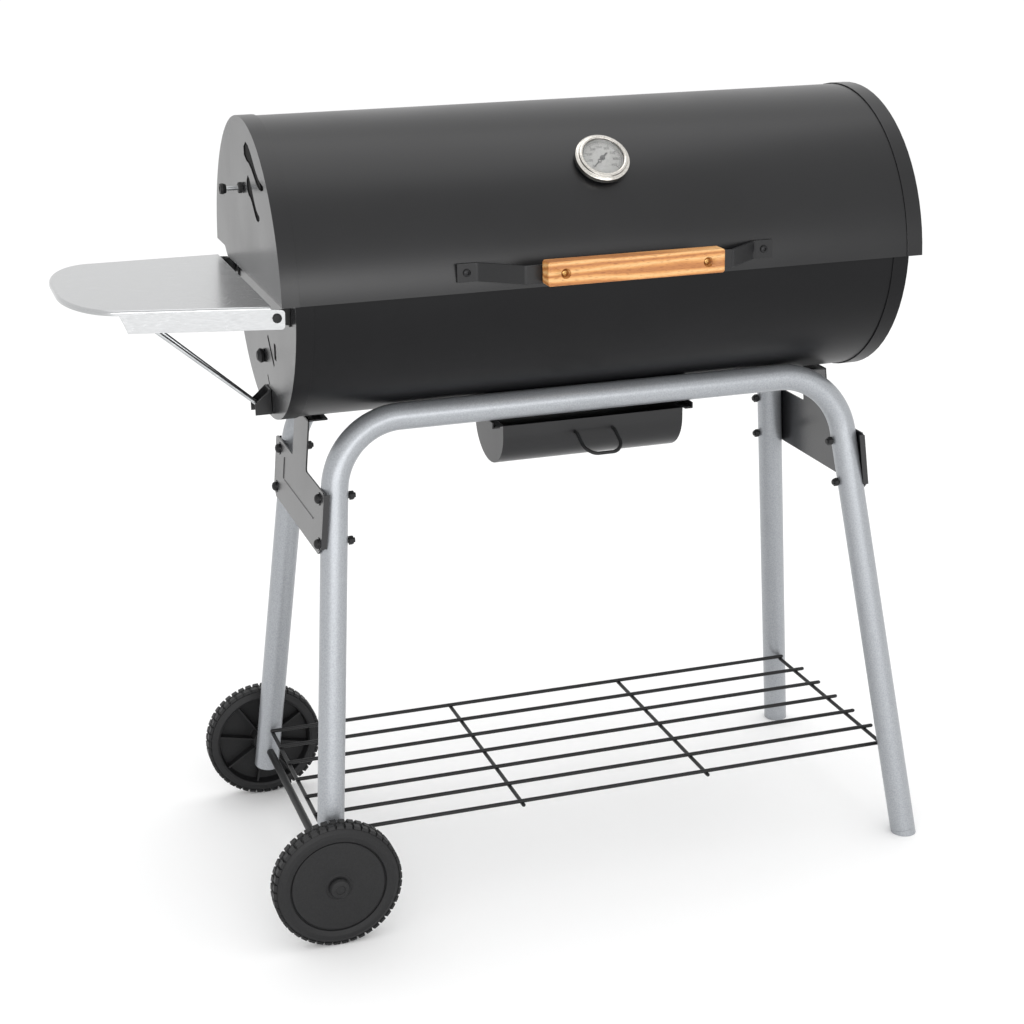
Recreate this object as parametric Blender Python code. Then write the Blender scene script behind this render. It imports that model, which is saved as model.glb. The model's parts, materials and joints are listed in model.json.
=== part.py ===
"""Barrel charcoal grill on a wheeled tube stand: hinged lid, firebox, side shelf, ash pan, grates.

Metres, +Z up. +X runs along the barrel to the right-hand end, -Y is the side the cook stands at.
The pieces are drawn with x = 0 at the barrel's middle. The last step moves them all along X, so
that the origin is on the floor under the middle of the whole grill, side shelf included.
"""
import math

import bmesh
import bpy
from mathutils import Matrix, Vector

# ---- driving dimensions ----
GAP = 0.0003                    # air between pieces that touch
SHEET = 0.0012                  # rolled steel sheet of the barrel
ARC_STEPS = 36                  # flats round each half of the barrel

FIREBOX_AXIS_Z = 0.769          # height of the firebox's axis, which is also its rim
FIREBOX_R = 0.1745              # outside of the firebox shell
FIREBOX_HALF = 0.373            # half length over the end plates
LID_AXIS = (0.011, 0.753)       # y, z of the lid's axis
LID_R = 0.1895                  # outside of the lid shell
LID_HALF = 0.3887               # half length over the end plates
BAND_W = 0.020                  # rolled band of each end plate over its shell
LID_FRONT_Z = 0.7607            # lower front edge of the lid
LID_REAR_Z = 0.771              # lower rear edge of the lid
HINGE_AXIS = (0.2085, 0.769)    # y, z of the lid hinge pins
HINGE_X = 0.200                 # each hinge's distance from the middle
HANDLE_HALF = 0.180             # strap screws' distance from the middle
HANDLE_Z = 0.784                # height of the straps
STRAP = 0.003                   # flat bar of the straps
GRIP_HALF = 0.105               # half length of the wooden grip
GAUGE_ANGLE = 45.0              # thermometer's angle above the front horizon

TUBE_R = 0.016                  # stand tube, 32 mm
TUBE_WALL = 0.0015
RAIL_Y = 0.095                  # top rail of each U, from the middle
RAIL_Z = 0.6031
FOOT_Y = 0.1932                 # leg lines carried down to the floor
LEFT_LEG_X = (-0.3161, -0.3729)     # at the rail, at the floor
RIGHT_LEG_X = (0.3211, 0.3968)
BEND_R = 0.085                  # bend between rail and leg
WHEEL_R = 0.078
WHEEL_W = 0.027
WHEEL_OUT = 0.2265              # outer face of each wheel, from the middle
AXLE_R = 0.005
WEB_TOP = 0.5920                # bracket webs' tabs, under the barrel
SHELF_WIRE_Z = 0.111            # lower wire shelf
WIRE_PITCH = 0.0513             # between its long wires

SIDE_AXIS = (-0.3888, 0.744)    # x, z of the side shelf's pivot bolts
SIDE_LENGTH = 0.2235            # from the pivot to the outer end
SIDE_MID_Y = 0.011
SIDE_HALF = (0.160, 0.1385)     # half width at the pivot, at the outer end
SIDE_RISE = 1.6                 # degrees the shelf rises outwards
APRON = 0.026

FOOTPRINT_SHIFT = 0.0996        # barrel's middle from the middle of the whole footprint

PAN_Y = -0.045                  # ash pan's middle
PAN_HALF_X = 0.115
PAN_TOP_Z = 0.579


# ---- helpers ----
def clear_scene():
    for item in list(bpy.data.objects):
        bpy.data.objects.remove(item, do_unlink=True)


def paint(name, colour, metallic, roughness):
    """One Principled material for one piece."""
    made = bpy.data.materials.new(name)
    made.use_nodes = True
    shader = made.node_tree.nodes["Principled BSDF"]
    shader.inputs["Base Color"].default_value = (*colour, 1.0)
    shader.inputs["Metallic"].default_value = metallic
    shader.inputs["Roughness"].default_value = roughness
    return made


FINISHES = {
    "black": ((0.030, 0.031, 0.034), 0.0, 0.45),
    "silver": ((0.60, 0.62, 0.64), 0.6, 0.35),
    "zinc": ((0.78, 0.78, 0.78), 0.9, 0.30),
    "steel": ((0.60, 0.60, 0.59), 1.0, 0.28),
    "oak": ((0.55, 0.33, 0.14), 0.0, 0.5),
    "plastic": ((0.022, 0.022, 0.024), 0.0, 0.55),
    "dial": ((0.85, 0.85, 0.83), 0.0, 0.5),
    "glass": ((0.9, 0.93, 0.95), 0.0, 0.05),
}


def add_object(name, mesh, finish):
    made = bpy.data.objects.new(name, mesh)
    bpy.context.scene.collection.objects.link(made)
    mesh.materials.append(paint(name + "_finish", *FINISHES[finish]))
    mesh.shade_smooth()
    mesh.set_sharp_from_angle(angle=math.radians(35))
    return made


def mesh_from(name, points, faces, outwards=True):
    """A mesh with doubles merged and, for a closed body, its faces turned outwards."""
    mesh = bpy.data.meshes.new(name)
    work = bmesh.new()
    made = [work.verts.new(p) for p in points]
    for face in faces:
        if len(set(face)) > 2:
            work.faces.new([made[i] for i in face])
    bmesh.ops.remove_doubles(work, verts=work.verts, dist=1e-6)
    bmesh.ops.dissolve_degenerate(work, dist=1e-7, edges=work.edges)
    if outwards:
        bmesh.ops.recalc_face_normals(work, faces=work.faces)
    work.to_mesh(mesh)
    work.free()
    return mesh


def prism(name, outline, low, high, axis, finish):
    """An outline drawn across an axis ("X": y, z; "Y": x, z; "Z": x, y), carried from low to high."""
    order = {"X": lambda u, v, w: (w, u, v), "Y": lambda u, v, w: (u, w, v), "Z": lambda u, v, w: (u, v, w)}
    count = len(outline)
    points = [order[axis](u, v, w) for w in (low, high) for u, v in outline]
    faces = [list(range(count)), list(range(count, 2 * count))]
    faces += [[i, (i + 1) % count, count + (i + 1) % count, count + i] for i in range(count)]
    return add_object(name, mesh_from(name, points, faces), finish)


def box(name, low, high, finish):
    corners = [(low[0], low[1]), (high[0], low[1]), (high[0], high[1]), (low[0], high[1])]
    return prism(name, corners, low[2], high[2], "Z", finish)


def sheet(name, points, faces, facing, thickness, finish):
    """Folded sheet: an open surface given its thickness on the side away from facing."""
    mesh = mesh_from(name, points, faces)
    work = bmesh.new()
    work.from_mesh(mesh)
    work.normal_update()
    widest = max(work.faces, key=lambda f: f.calc_area() * abs(f.normal.dot(Vector(facing))))
    if widest.normal.dot(Vector(facing)) < 0:
        bmesh.ops.reverse_faces(work, faces=work.faces)
    work.to_mesh(mesh)
    work.free()
    made = add_object(name, mesh, finish)
    solid = made.modifiers.new("sheet", "SOLIDIFY")
    solid.thickness = thickness
    solid.offset = -1.0
    solid.use_even_offset = True
    return made


def lathe(name, profile, place, direction, finish, steps=32):
    """A turned piece: (radius, height) points turned about an axis that starts at place."""
    closed = profile[0][0] > 1e-9
    points = []
    for r, h in profile:
        for k in range(steps):
            turn = 2 * math.pi * k / steps
            points.append((r * math.cos(turn), r * math.sin(turn), h))
    faces = []
    rows = len(profile)
    for i in range(rows if closed else rows - 1):
        j = (i + 1) % rows
        for k in range(steps):
            n = (k + 1) % steps
            faces.append([i * steps + k, i * steps + n, j * steps + n, j * steps + k])
    made = add_object(name, mesh_from(name, points, faces), finish)
    made.rotation_mode = "QUATERNION"
    made.rotation_quaternion = Vector((0, 0, 1)).rotation_difference(Vector(direction))
    made.location = place
    return made


def rod(name, start, end, radius, finish, steps=12):
    reach = Vector(end) - Vector(start)
    return lathe(name, [(0, 0), (radius, 0), (radius, reach.length), (0, reach.length)], start, reach,
                 finish, steps)


def sweep(name, path, radius, bore, finish, sides=16):
    """A round bar or, with a bore, an open tube, carried along a path without twist."""
    path = [Vector(p) for p in path]
    side = None
    rings = []
    for i, point in enumerate(path):
        before = path[max(i - 1, 0)]
        after = path[min(i + 1, len(path) - 1)]
        along = (after - before).normalized()
        if side is None:
            side = along.orthogonal()
        side = (side - along * side.dot(along)).normalized()
        across = along.cross(side)
        rings.append((point, side.copy(), across))
    points = []
    walls = (radius, bore) if bore else (radius,)
    for wall in walls:
        for point, u, v in rings:
            for k in range(sides):
                turn = 2 * math.pi * k / sides
                points.append(point + (u * math.cos(turn) + v * math.sin(turn)) * wall)
    faces = []
    count = len(rings)
    for w in range(len(walls)):
        base = w * count * sides
        for i in range(count - 1):
            for k in range(sides):
                n = (k + 1) % sides
                a = base + i * sides
                faces.append([a + k, a + n, a + sides + n, a + sides + k])
    ends = (0, (count - 1) * sides)
    for first in ends:
        if bore:
            inner = count * sides + first
            for k in range(sides):
                n = (k + 1) % sides
                faces.append([first + k, first + n, inner + n, inner + k])
        else:
            faces.append([first + k for k in range(sides)])
    return add_object(name, mesh_from(name, points, faces), finish)


def cut(target, cutter):
    """Takes the cutter out of the target and hides it."""
    cutter.hide_render = True
    cutter.display_type = "WIRE"
    step = target.modifiers.new("cut", "BOOLEAN")
    step.operation = "DIFFERENCE"
    step.solver = "EXACT"
    step.object = cutter


def join(target, other):
    """Welds the other piece to the target, as one body."""
    other.hide_render = True
    other.display_type = "WIRE"
    step = target.modifiers.new("weld", "BOOLEAN")
    step.operation = "UNION"
    step.solver = "EXACT"
    step.object = other


def pivot(name, place):
    made = bpy.data.objects.new(name, None)
    made.location = place
    bpy.context.scene.collection.objects.link(made)
    bpy.context.view_layer.update()
    return made


def hang(parent, *children):
    for child in children:
        bpy.context.view_layer.update()
        child.parent = parent
        child.matrix_parent_inverse = parent.matrix_world.inverted()


def arc(centre, radius, start, end, steps=ARC_STEPS):
    """Points (y, z) on a circle; 0 degrees is the rear, 90 the top, 180 the front."""
    turns = [math.radians(start + (end - start) * i / steps) for i in range(steps + 1)]
    return [(centre[0] + radius * math.cos(t), centre[1] + radius * math.sin(t)) for t in turns]


# ---- barrel ----
def lid_angles():
    rear = math.degrees(math.asin((LID_REAR_Z - LID_AXIS[1]) / LID_R))
    front = 180 - math.degrees(math.asin((LID_FRONT_Z - LID_AXIS[1]) / LID_R))
    return rear, front


def rolled_shell(name, centre, radius, start, end, half):
    """Half a barrel: a thick arc carried along X."""
    outline = arc(centre, radius, start, end) + arc(centre, radius - SHEET, end, start)
    return prism(name, outline, -half, half, "X", "black")


def end_plate(name, centre, radius, start, end, side, half, chord):
    """A plate across the barrel's end with a band turned in over the shell."""
    rim = arc(centre, radius, start, end)
    count = len(rim)
    outer = side * half
    inner = side * (half - BAND_W)
    points = [(outer, y, z) for y, z in rim] + [(outer, y, z) for y, z in chord]
    faces = [list(range(len(points)))]
    band = len(points)
    points += [(inner, y, z) for y, z in rim]
    faces += [[i, i + 1, band + i + 1, band + i] for i in range(count - 1)]
    return sheet(name, points, faces, (side, 0, 0), SHEET, "black")


def vent_cutter(name, x, start, end, wide, thin):
    """A curved drop, wide at its start and thin at its end, drawn across X."""
    steps = 8
    left = []
    right = []
    for i in range(steps + 1):
        t = i / steps
        y = start[0] + (end[0] - start[0]) * t
        z = start[1] + (end[1] - start[1]) * t + 0.006 * math.sin(2 * math.pi * t)
        half = 0.5 * (wide * (1 - t) ** 0.7 + thin) * math.sqrt(min(1.0, 6 * t + 0.15))
        left.append((y, z + half))
        right.append((y, z - half))
    return prism(name, left + right[::-1], x - 0.01, x + 0.01, "X", "black")


def build_firebox():
    centre = (0.0, FIREBOX_AXIS_Z)
    shell = rolled_shell("firebox_shell", centre, FIREBOX_R, 180, 360, FIREBOX_HALF - SHEET - GAP)
    low = (-0.085, PAN_Y - 0.030, 0.55)
    high = (0.085, PAN_Y + 0.030, 0.62)
    cut(shell, box("ash_opening_cutter", low, high, "black"))
    band_r = FIREBOX_R + GAP + SHEET
    ends = {}
    for side, word in ((-1, "left"), (1, "right")):
        ends[word] = end_plate(f"firebox_{word}_end", centre, band_r, 180, 360, side, FIREBOX_HALF, [])
    x = -FIREBOX_HALF
    slot_shapes = {
        "front": [(-0.055, 0.6715), (-0.044, 0.6715), (-0.044, 0.6905), (-0.055, 0.6905)],
        "slanted": [(-0.012, 0.694), (-0.008, 0.690), (-0.038, 0.6605), (-0.042, 0.6645)],
        "low": [(0.0005, 0.6430), (0.0035, 0.6410), (-0.0045, 0.6310), (-0.0075, 0.6330)],
    }
    for word, slot in slot_shapes.items():
        cut(ends["left"], prism(f"air_slot_cutter_{word}", slot, x - 0.01, x + 0.01, "X", "black"))
    hole = rod("air_pivot_cutter", (x - 0.01, 0.022, 0.661), (x + 0.01, 0.022, 0.661), 0.0036, "black")
    cut(ends["left"], hole)
    inner = x + SHEET + GAP
    plate = [(-0.059, 0.655), (-0.002, 0.653), (0.010, 0.647), (0.034, 0.647), (0.034, 0.675),
             (0.010, 0.675), (-0.002, 0.700), (-0.059, 0.698)]
    damper = prism("firebox_vent_plate", plate, inner, inner + 0.0015, "X", "zinc")
    slot = [(-0.0120, 0.6955), (-0.0065, 0.6900), (-0.0380, 0.6590), (-0.0435, 0.6645)]
    cut(damper, prism("damper_slot_cutter", slot, inner - 0.01, inner + 0.01, "X", "black"))
    bore = rod("damper_pivot_cutter", (inner - 0.01, 0.022, 0.661), (inner + 0.01, 0.022, 0.661), 0.0036,
               "black")
    cut(damper, bore)
    profile = [(0, -0.0060), (0.007, -0.0060), (0.007, -0.0034), (0.003, -0.0034), (0.003, GAP + 0.0001),
               (0.008, GAP + 0.0001), (0.009, 0.004), (0.005, 0.008), (0.0, 0.008)]
    knob = lathe("firebox_vent_knob", profile, (x, 0.022, 0.661), (-1, 0, 0), "plastic", 16)
    hang(pivot("firebox_vent_pivot", (x, 0.022, 0.661)), damper, knob)


def build_grates():
    centre_z = FIREBOX_AXIS_Z
    for word, side in (("front", -1), ("rear", 1)):
        wall = math.sqrt((FIREBOX_R - SHEET) ** 2 - 0.030 ** 2)
        y = side * (wall - 0.0006)
        ledge = [(y, centre_z - 0.030), (y - side * 0.010, centre_z - 0.030),
                 (y - side * 0.010, centre_z - 0.028), (y, centre_z - 0.028)]
        prism(f"{word}_grate_ledge", ledge, -0.340, 0.340, "X", "black")
    top = centre_z - 0.028 + GAP
    for word, side in (("left", -1), ("right", 1)):
        middle = side * 0.1825
        grate_plate(f"{word}_cooking_grate", (middle, 0.0), (0.350, 0.330), top, 0.004, 13, 0.007)
    grate_plate("charcoal_grate", (0.0, 0.0), (0.690, 0.246), centre_z - 0.121, 0.004, 18, 0.012)


def grate_plate(name, middle, size, z, thickness, slots, bar):
    """A frame with bars along Y: one row of slots on each side of a middle bar along X."""
    left = middle[0] - size[0] / 2
    front = middle[1] - size[1] / 2
    pitch = (size[0] - bar) / slots
    xs = []
    for i in range(slots + 1):
        xs += [left + i * pitch, left + i * pitch + bar]
    ys = [front, front + bar, middle[1] - bar / 2, middle[1] + bar / 2, front + size[1] - bar,
          front + size[1]]
    mesh = bpy.data.meshes.new(name)
    work = bmesh.new()
    grid = [[work.verts.new((x, y, z)) for y in ys] for x in xs]
    for i in range(len(xs) - 1):
        for j in range(len(ys) - 1):
            if i % 2 == 1 and j % 2 == 1:
                continue
            work.faces.new([grid[i][j], grid[i + 1][j], grid[i + 1][j + 1], grid[i][j + 1]])
    flat = work.faces[:]
    lifted = bmesh.ops.extrude_face_region(work, geom=flat)
    moved = [v for v in lifted["geom"] if isinstance(v, bmesh.types.BMVert)]
    bmesh.ops.translate(work, verts=moved, vec=(0, 0, thickness))
    bmesh.ops.recalc_face_normals(work, faces=work.faces)
    work.to_mesh(mesh)
    work.free()
    return add_object(name, mesh, "black")


def build_lid():
    rear, front = lid_angles()
    shell = rolled_shell("lid_shell", LID_AXIS, LID_R, rear, front, LID_HALF - SHEET - GAP)
    band_r = LID_R + GAP + SHEET
    front_y = LID_AXIS[0] - math.sqrt(band_r ** 2 - (LID_FRONT_Z - LID_AXIS[1]) ** 2)
    chord = [(front_y + 0.002, LID_FRONT_Z - 0.0002), (0.135, LID_FRONT_Z), (0.150, LID_REAR_Z)]
    pieces = [shell]
    ends = {}
    for side, word in ((-1, "left"), (1, "right")):
        ends[word] = end_plate(f"lid_{word}_end", LID_AXIS, band_r, rear, front, side, LID_HALF, chord)
    pieces += list(ends.values())
    x = -LID_HALF
    upper = vent_cutter("vent_upper_cutter", x, (-0.008, 0.908), (-0.110, 0.880), 0.020, 0.004)
    lower = vent_cutter("vent_lower_cutter", x, (-0.016, 0.870), (-0.080, 0.842), 0.022, 0.004)
    cut(ends["left"], upper)
    cut(ends["left"], lower)
    spot = (x, 0.014, 0.8625)
    stem_hole = rod("vent_stem_cutter", (x - 0.01, *spot[1:]), (x + 0.01, *spot[1:]), 0.0036, "black")
    cut(ends["left"], stem_hole)
    build_lid_vent(x, spot)
    pieces += build_gauge(shell)
    pieces += build_handle(shell)
    pieces += build_hinges()
    hang(pivot("lid_pivot", (0, *HINGE_AXIS)), *pieces)


def build_lid_vent(x, spot):
    """A flat damper that turns behind the cut-outs, on a long-stemmed knob."""
    inner = x + SHEET + GAP
    fan = [(spot[1] + 0.012, spot[2] - 0.012), (spot[1] + 0.012, spot[2] + 0.012)]
    for step in range(9):
        turn = math.radians(100 + 115 * step / 8)
        fan.append((spot[1] + 0.105 * math.cos(turn), spot[2] + 0.060 * math.sin(turn)))
    plate = prism("lid_vent_plate", fan, inner, inner + 0.0015, "X", "black")
    bore = rod("vent_bore_cutter", (inner - 0.01, *spot[1:]), (inner + 0.01, *spot[1:]), 0.0036, "black")
    cut(plate, bore)
    profile = [(0, -0.0060), (0.007, -0.0060), (0.007, -0.0034), (0.003, -0.0034), (0.003, GAP + 0.0001),
               (0.0055, GAP + 0.0001), (0.0055, 0.002), (0.0035, 0.003), (0.0035, 0.021), (0.0065, 0.021),
               (0.0065, 0.026), (0, 0.026)]
    knob = lathe("lid_vent_knob", profile, spot, (-1, 0, 0), "plastic", 16)
    vent = pivot("lid_vent_pivot", spot)
    hang(vent, plate, knob)


def gauge_frame():
    turn = math.radians(GAUGE_ANGLE)
    out = Vector((0, -math.cos(turn), math.sin(turn)))
    spot = Vector((0, *LID_AXIS)) + out * (LID_R + 0.0016)
    return spot, out


def build_gauge(shell):
    """Thermometer: a turned case with its stem through the lid, then dial, needle and glass."""
    spot, out = gauge_frame()
    cut(shell, rod("gauge_hole_cutter", spot - out * 0.02, spot + out * 0.02, 0.0055, "black", 16))
    case = [(0, -0.060), (0.003, -0.060), (0.003, -0.020), (0.005, -0.018), (0.005, 0.0), (0.028, 0.0),
            (0.0315, 0.003), (0.0320, 0.008), (0.0305, 0.0115), (0.0285, 0.0120), (0.0270, 0.0110),
            (0.0270, 0.0035), (0.0, 0.0035)]
    pieces = [lathe("thermometer_case", case, spot, out, "steel", 32)]
    dial = [(0.0022, 0.0038), (0.0266, 0.0038), (0.0266, 0.0048), (0.0022, 0.0048)]
    pieces.append(lathe("thermometer_dial", dial, spot, out, "dial", 28))
    glass = [(0, 0.0090), (0.0266, 0.0090), (0.0266, 0.0102), (0, 0.0102)]
    pieces.append(lathe("thermometer_glass", glass, spot, out, "glass", 28))
    nut = [(0.0062, -0.0105), (0.0100, -0.0105), (0.0100, -0.0055), (0.0062, -0.0055)]
    pieces.append(lathe("thermometer_nut", nut, spot, out, "zinc", 6))
    needle = [(-0.0090, -0.0010), (0.0165, -0.0004), (0.0165, 0.0004), (-0.0090, 0.0010)]
    hand = prism("thermometer_needle", needle, 0.0056, 0.0066, "Z", "plastic")
    hub = lathe("needle_hub", [(0, 0.0040), (0.0018, 0.0040), (0.0018, 0.0053), (0.0032, 0.0053),
                               (0.0032, 0.0070), (0, 0.0070)], (0, 0, 0), (0, 0, 1), "plastic", 16)
    across = Vector((1, 0, 0))
    basis = Matrix((across, out.cross(across), out)).transposed().to_4x4()
    turn = Matrix.Rotation(math.radians(222), 4, "Z")
    for piece in (hand, hub):
        piece.matrix_world = Matrix.Translation(spot) @ basis @ turn
    join(hand, hub)
    return pieces + [hand]


def lid_surface_y(z):
    return LID_AXIS[0] - math.sqrt(LID_R ** 2 - (z - LID_AXIS[1]) ** 2)


def build_handle(shell):
    """Two flat straps bent out from the lid, with a wooden grip screwed to their fronts."""
    back_y = -0.2180
    high = HANDLE_Z + 0.0105
    low = HANDLE_Z - 0.0105
    pieces = []
    for side, word in ((-1, "left"), (1, "right")):
        foot_y = lid_surface_y(low) - STRAP - GAP
        line = [(HANDLE_HALF + 0.011, foot_y), (HANDLE_HALF - 0.012, foot_y), (0.124, back_y),
                (0.066, back_y)]
        points = [(side * x, y, z) for z in (low, high) for x, y in line]
        faces = [[i, i + 1, i + 5, i + 4] for i in range(3)]
        strap = sheet(f"{word}_handle_strap", points, faces, (0, -1, 0), STRAP, "black")
        pieces.append(strap)
        hole = rod(f"{word}_strap_cutter", (side * HANDLE_HALF, -0.21, HANDLE_Z),
                   (side * HANDLE_HALF, -0.15, HANDLE_Z), 0.0030, "black")
        cut(strap, hole)
        cut(shell, hole)
        grip_hole = rod(f"{word}_grip_cutter", (side * 0.0845, -0.25, HANDLE_Z + 0.003),
                        (side * 0.0845, -0.20, HANDLE_Z + 0.003), 0.0028, "black")
        cut(strap, grip_hole)
        profile = [(0, -0.014), (0.0025, -0.014), (0.0025, GAP), (0.0045, GAP), (0.0040, 0.0022), (0, 0.0028)]
        outer = (side * HANDLE_HALF, foot_y, HANDLE_Z)
        pieces.append(lathe(f"{word}_strap_screw", profile, outer, (0, -1, 0), "steel", 12))
        seat = (side * 0.0845, -0.2340, HANDLE_Z + 0.003)
        profile = [(0, -0.0230), (0.0025, -0.0230), (0.0025, GAP), (0.0042, GAP), (0.0036, 0.0022),
                   (0, 0.0026)]
        pieces.append(lathe(f"{word}_grip_screw", profile, seat, (0, -1, 0), "steel", 12))
    pieces.append(build_grip(back_y))
    return pieces


def build_grip(back_y):
    """A rounded wooden bar, counterbored for its two screws."""
    low = HANDLE_Z - 0.0105
    high = HANDLE_Z + 0.0165
    corner = 0.008
    outline = []
    for cx, cz, start in ((GRIP_HALF - corner, high - corner, 0), (-GRIP_HALF + corner, high - corner, 90),
                          (-GRIP_HALF + corner, low + corner, 180), (GRIP_HALF - corner, low + corner, 270)):
        for step in range(4):
            turn = math.radians(start + 30 * step)
            outline.append((cx + corner * math.cos(turn), cz + corner * math.sin(turn)))
    grip = prism("handle_grip", outline, -0.2400, back_y - GAP, "Y", "oak")
    step = [(0, 0), (0.0060, 0), (0.0060, 0.016), (0.0028, 0.016), (0.0028, 0.060), (0, 0.060)]
    for side in (-1, 1):
        seat = (side * 0.0845, -0.2500, HANDLE_Z + 0.003)
        cut(grip, lathe(f"grip_bore_cutter_{side}", step, seat, (0, 1, 0), "black", 12))
    return grip


def build_hinges():
    """Rear hinges: a leaf under the lid's rear edge and a leaf on the firebox, round one pin each."""
    y, z = HINGE_AXIS
    leaves = []
    for side, word in ((-1, "left"), (1, "right")):
        middle = side * HINGE_X

        def across(name, start, end, radius):
            return rod(f"{word}_{name}", (middle + start, y, z), (middle + end, y, z), radius, "black", 16)

        plate = arc(LID_AXIS, LID_R + 0.0028, 17.8, 7.0, 4) + [(y + 0.0030, z + 0.0045)]
        plate += [(y - 0.0040, z + 0.0012)] + arc(LID_AXIS, LID_R + 0.0006, 7.0, 17.8, 4)
        leaf = prism(f"{word}_lid_hinge_leaf", plate, middle - 0.018, middle + 0.018, "X", "black")
        cut(leaf, across("near_knuckle_cutter", -0.05, -0.0097, 0.0075))
        cut(leaf, across("far_knuckle_cutter", 0.0097, 0.05, 0.0075))
        join(leaf, across("lid_knuckle", -0.0094, 0.0094, 0.0065))
        bore = across("hinge_bore_cutter", -0.05, 0.05, 0.00335)
        cut(leaf, bore)
        leaves.append(leaf)
        wall = arc((0.0, FIREBOX_AXIS_Z), FIREBOX_R + 0.0006, 345, 358, 4)
        back = arc((0.0, FIREBOX_AXIS_Z), FIREBOX_R + 0.0028, 356, 345, 4)
        arm = wall + [(y - 0.0030, z - 0.0010), (y - 0.0010, z - 0.0045)] + back
        fixed = prism(f"{word}_firebox_hinge_leaf", arm, middle - 0.0190, middle + 0.0190, "X", "black")
        join(fixed, across("fixed_knuckle", -0.0200, 0.0200, 0.0065))
        cut(fixed, across("mid_knuckle_cutter", -0.0100, 0.0100, 0.0080))
        cut(fixed, bore)
        pin = [(0, -0.0240), (0.0030, -0.0240), (0.0030, 0.0204), (0.0050, 0.0204), (0.0050, 0.0230), (0, 0.0230)]
        lathe(f"{word}_hinge_pin", pin, (middle, y, z), (side, 0, 0), "steel", 16)
    return leaves


# ---- stand ----
def leg_point(xs, side, z):
    """A point on a leg's centre line at height z; side is -1 for the front, 1 for the rear."""
    t = 1 - z / RAIL_Z
    return Vector((xs[0] + (xs[1] - xs[0]) * t, side * (RAIL_Y + (FOOT_Y - RAIL_Y) * t), z))


def bend(corner, before, after, radius, steps=6):
    """Points round a bend that joins two straight stretches meeting at a corner."""
    u = (before - corner).normalized()
    v = (after - corner).normalized()
    half = u.angle(v) / 2
    reach = radius / math.tan(half)
    centre = corner + (u + v).normalized() * (radius / math.sin(half))
    start = corner + u * reach - centre
    end = corner + v * reach - centre
    sweep_angle = start.angle(end)
    made = []
    for i in range(steps + 1):
        t = i / steps
        w0 = math.sin((1 - t) * sweep_angle) / math.sin(sweep_angle)
        w1 = math.sin(t * sweep_angle) / math.sin(sweep_angle)
        made.append(centre + start * w0 + end * w1)
    return made


def build_frames():
    for side, word in ((-1, "front"), (1, "rear")):
        top_left = leg_point(LEFT_LEG_X, side, RAIL_Z)
        top_right = leg_point(RIGHT_LEG_X, side, RAIL_Z)
        foot_left = leg_point(LEFT_LEG_X, side, 0.052)
        foot_right = leg_point(RIGHT_LEG_X, side, 0.006)
        path = [foot_left]
        path += bend(top_left, foot_left, top_right, BEND_R)
        path += bend(top_right, top_left, foot_right, BEND_R)
        path.append(foot_right)
        tube = sweep(f"{word}_frame_tube", path, TUBE_R, TUBE_R - TUBE_WALL, "silver", 16)
        axle_spot = leg_point(LEFT_LEG_X, side, WHEEL_R)
        axle_hole = rod(f"{word}_axle_cutter", (axle_spot.x, -0.3, WHEEL_R), (axle_spot.x, 0.3, WHEEL_R),
                        AXLE_R + 0.0005, "black")
        cut(tube, axle_hole)
        for xs, end in ((LEFT_LEG_X, "left"), (RIGHT_LEG_X, "right")):
            for height, level in ((0.518, "upper"), (0.466, "lower")):
                spot = leg_point(xs, side, height)
                hole = rod(f"{word}_{end}_{level}_cutter", spot - Vector((0.03, 0, 0)),
                           spot + Vector((0.03, 0, 0)), 0.0037, "black", 10)
                cut(tube, hole)
        build_foot(word, side)


def build_foot(word, side):
    """A plug in the right leg's end, cut level with the floor."""
    end = leg_point(RIGHT_LEG_X, side, 0.006)
    above = leg_point(RIGHT_LEG_X, side, 0.024)
    along = (end - above).normalized()
    length = (end - above).length
    stem = TUBE_R - TUBE_WALL - 0.0006
    profile = [(0, length - 0.012), (stem, length - 0.012), (stem, length + GAP), (TUBE_R, length + GAP),
               (TUBE_R, length + 0.020), (0, length + 0.020)]
    foot = lathe(f"right_{word}_foot", profile, above, along, "silver", 20)
    cut(foot, box(f"{word}_floor_cutter", (end.x - 0.1, end.y - 0.1, -0.1), (end.x + 0.1, end.y + 0.1, 0.0),
                  "black"))


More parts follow.
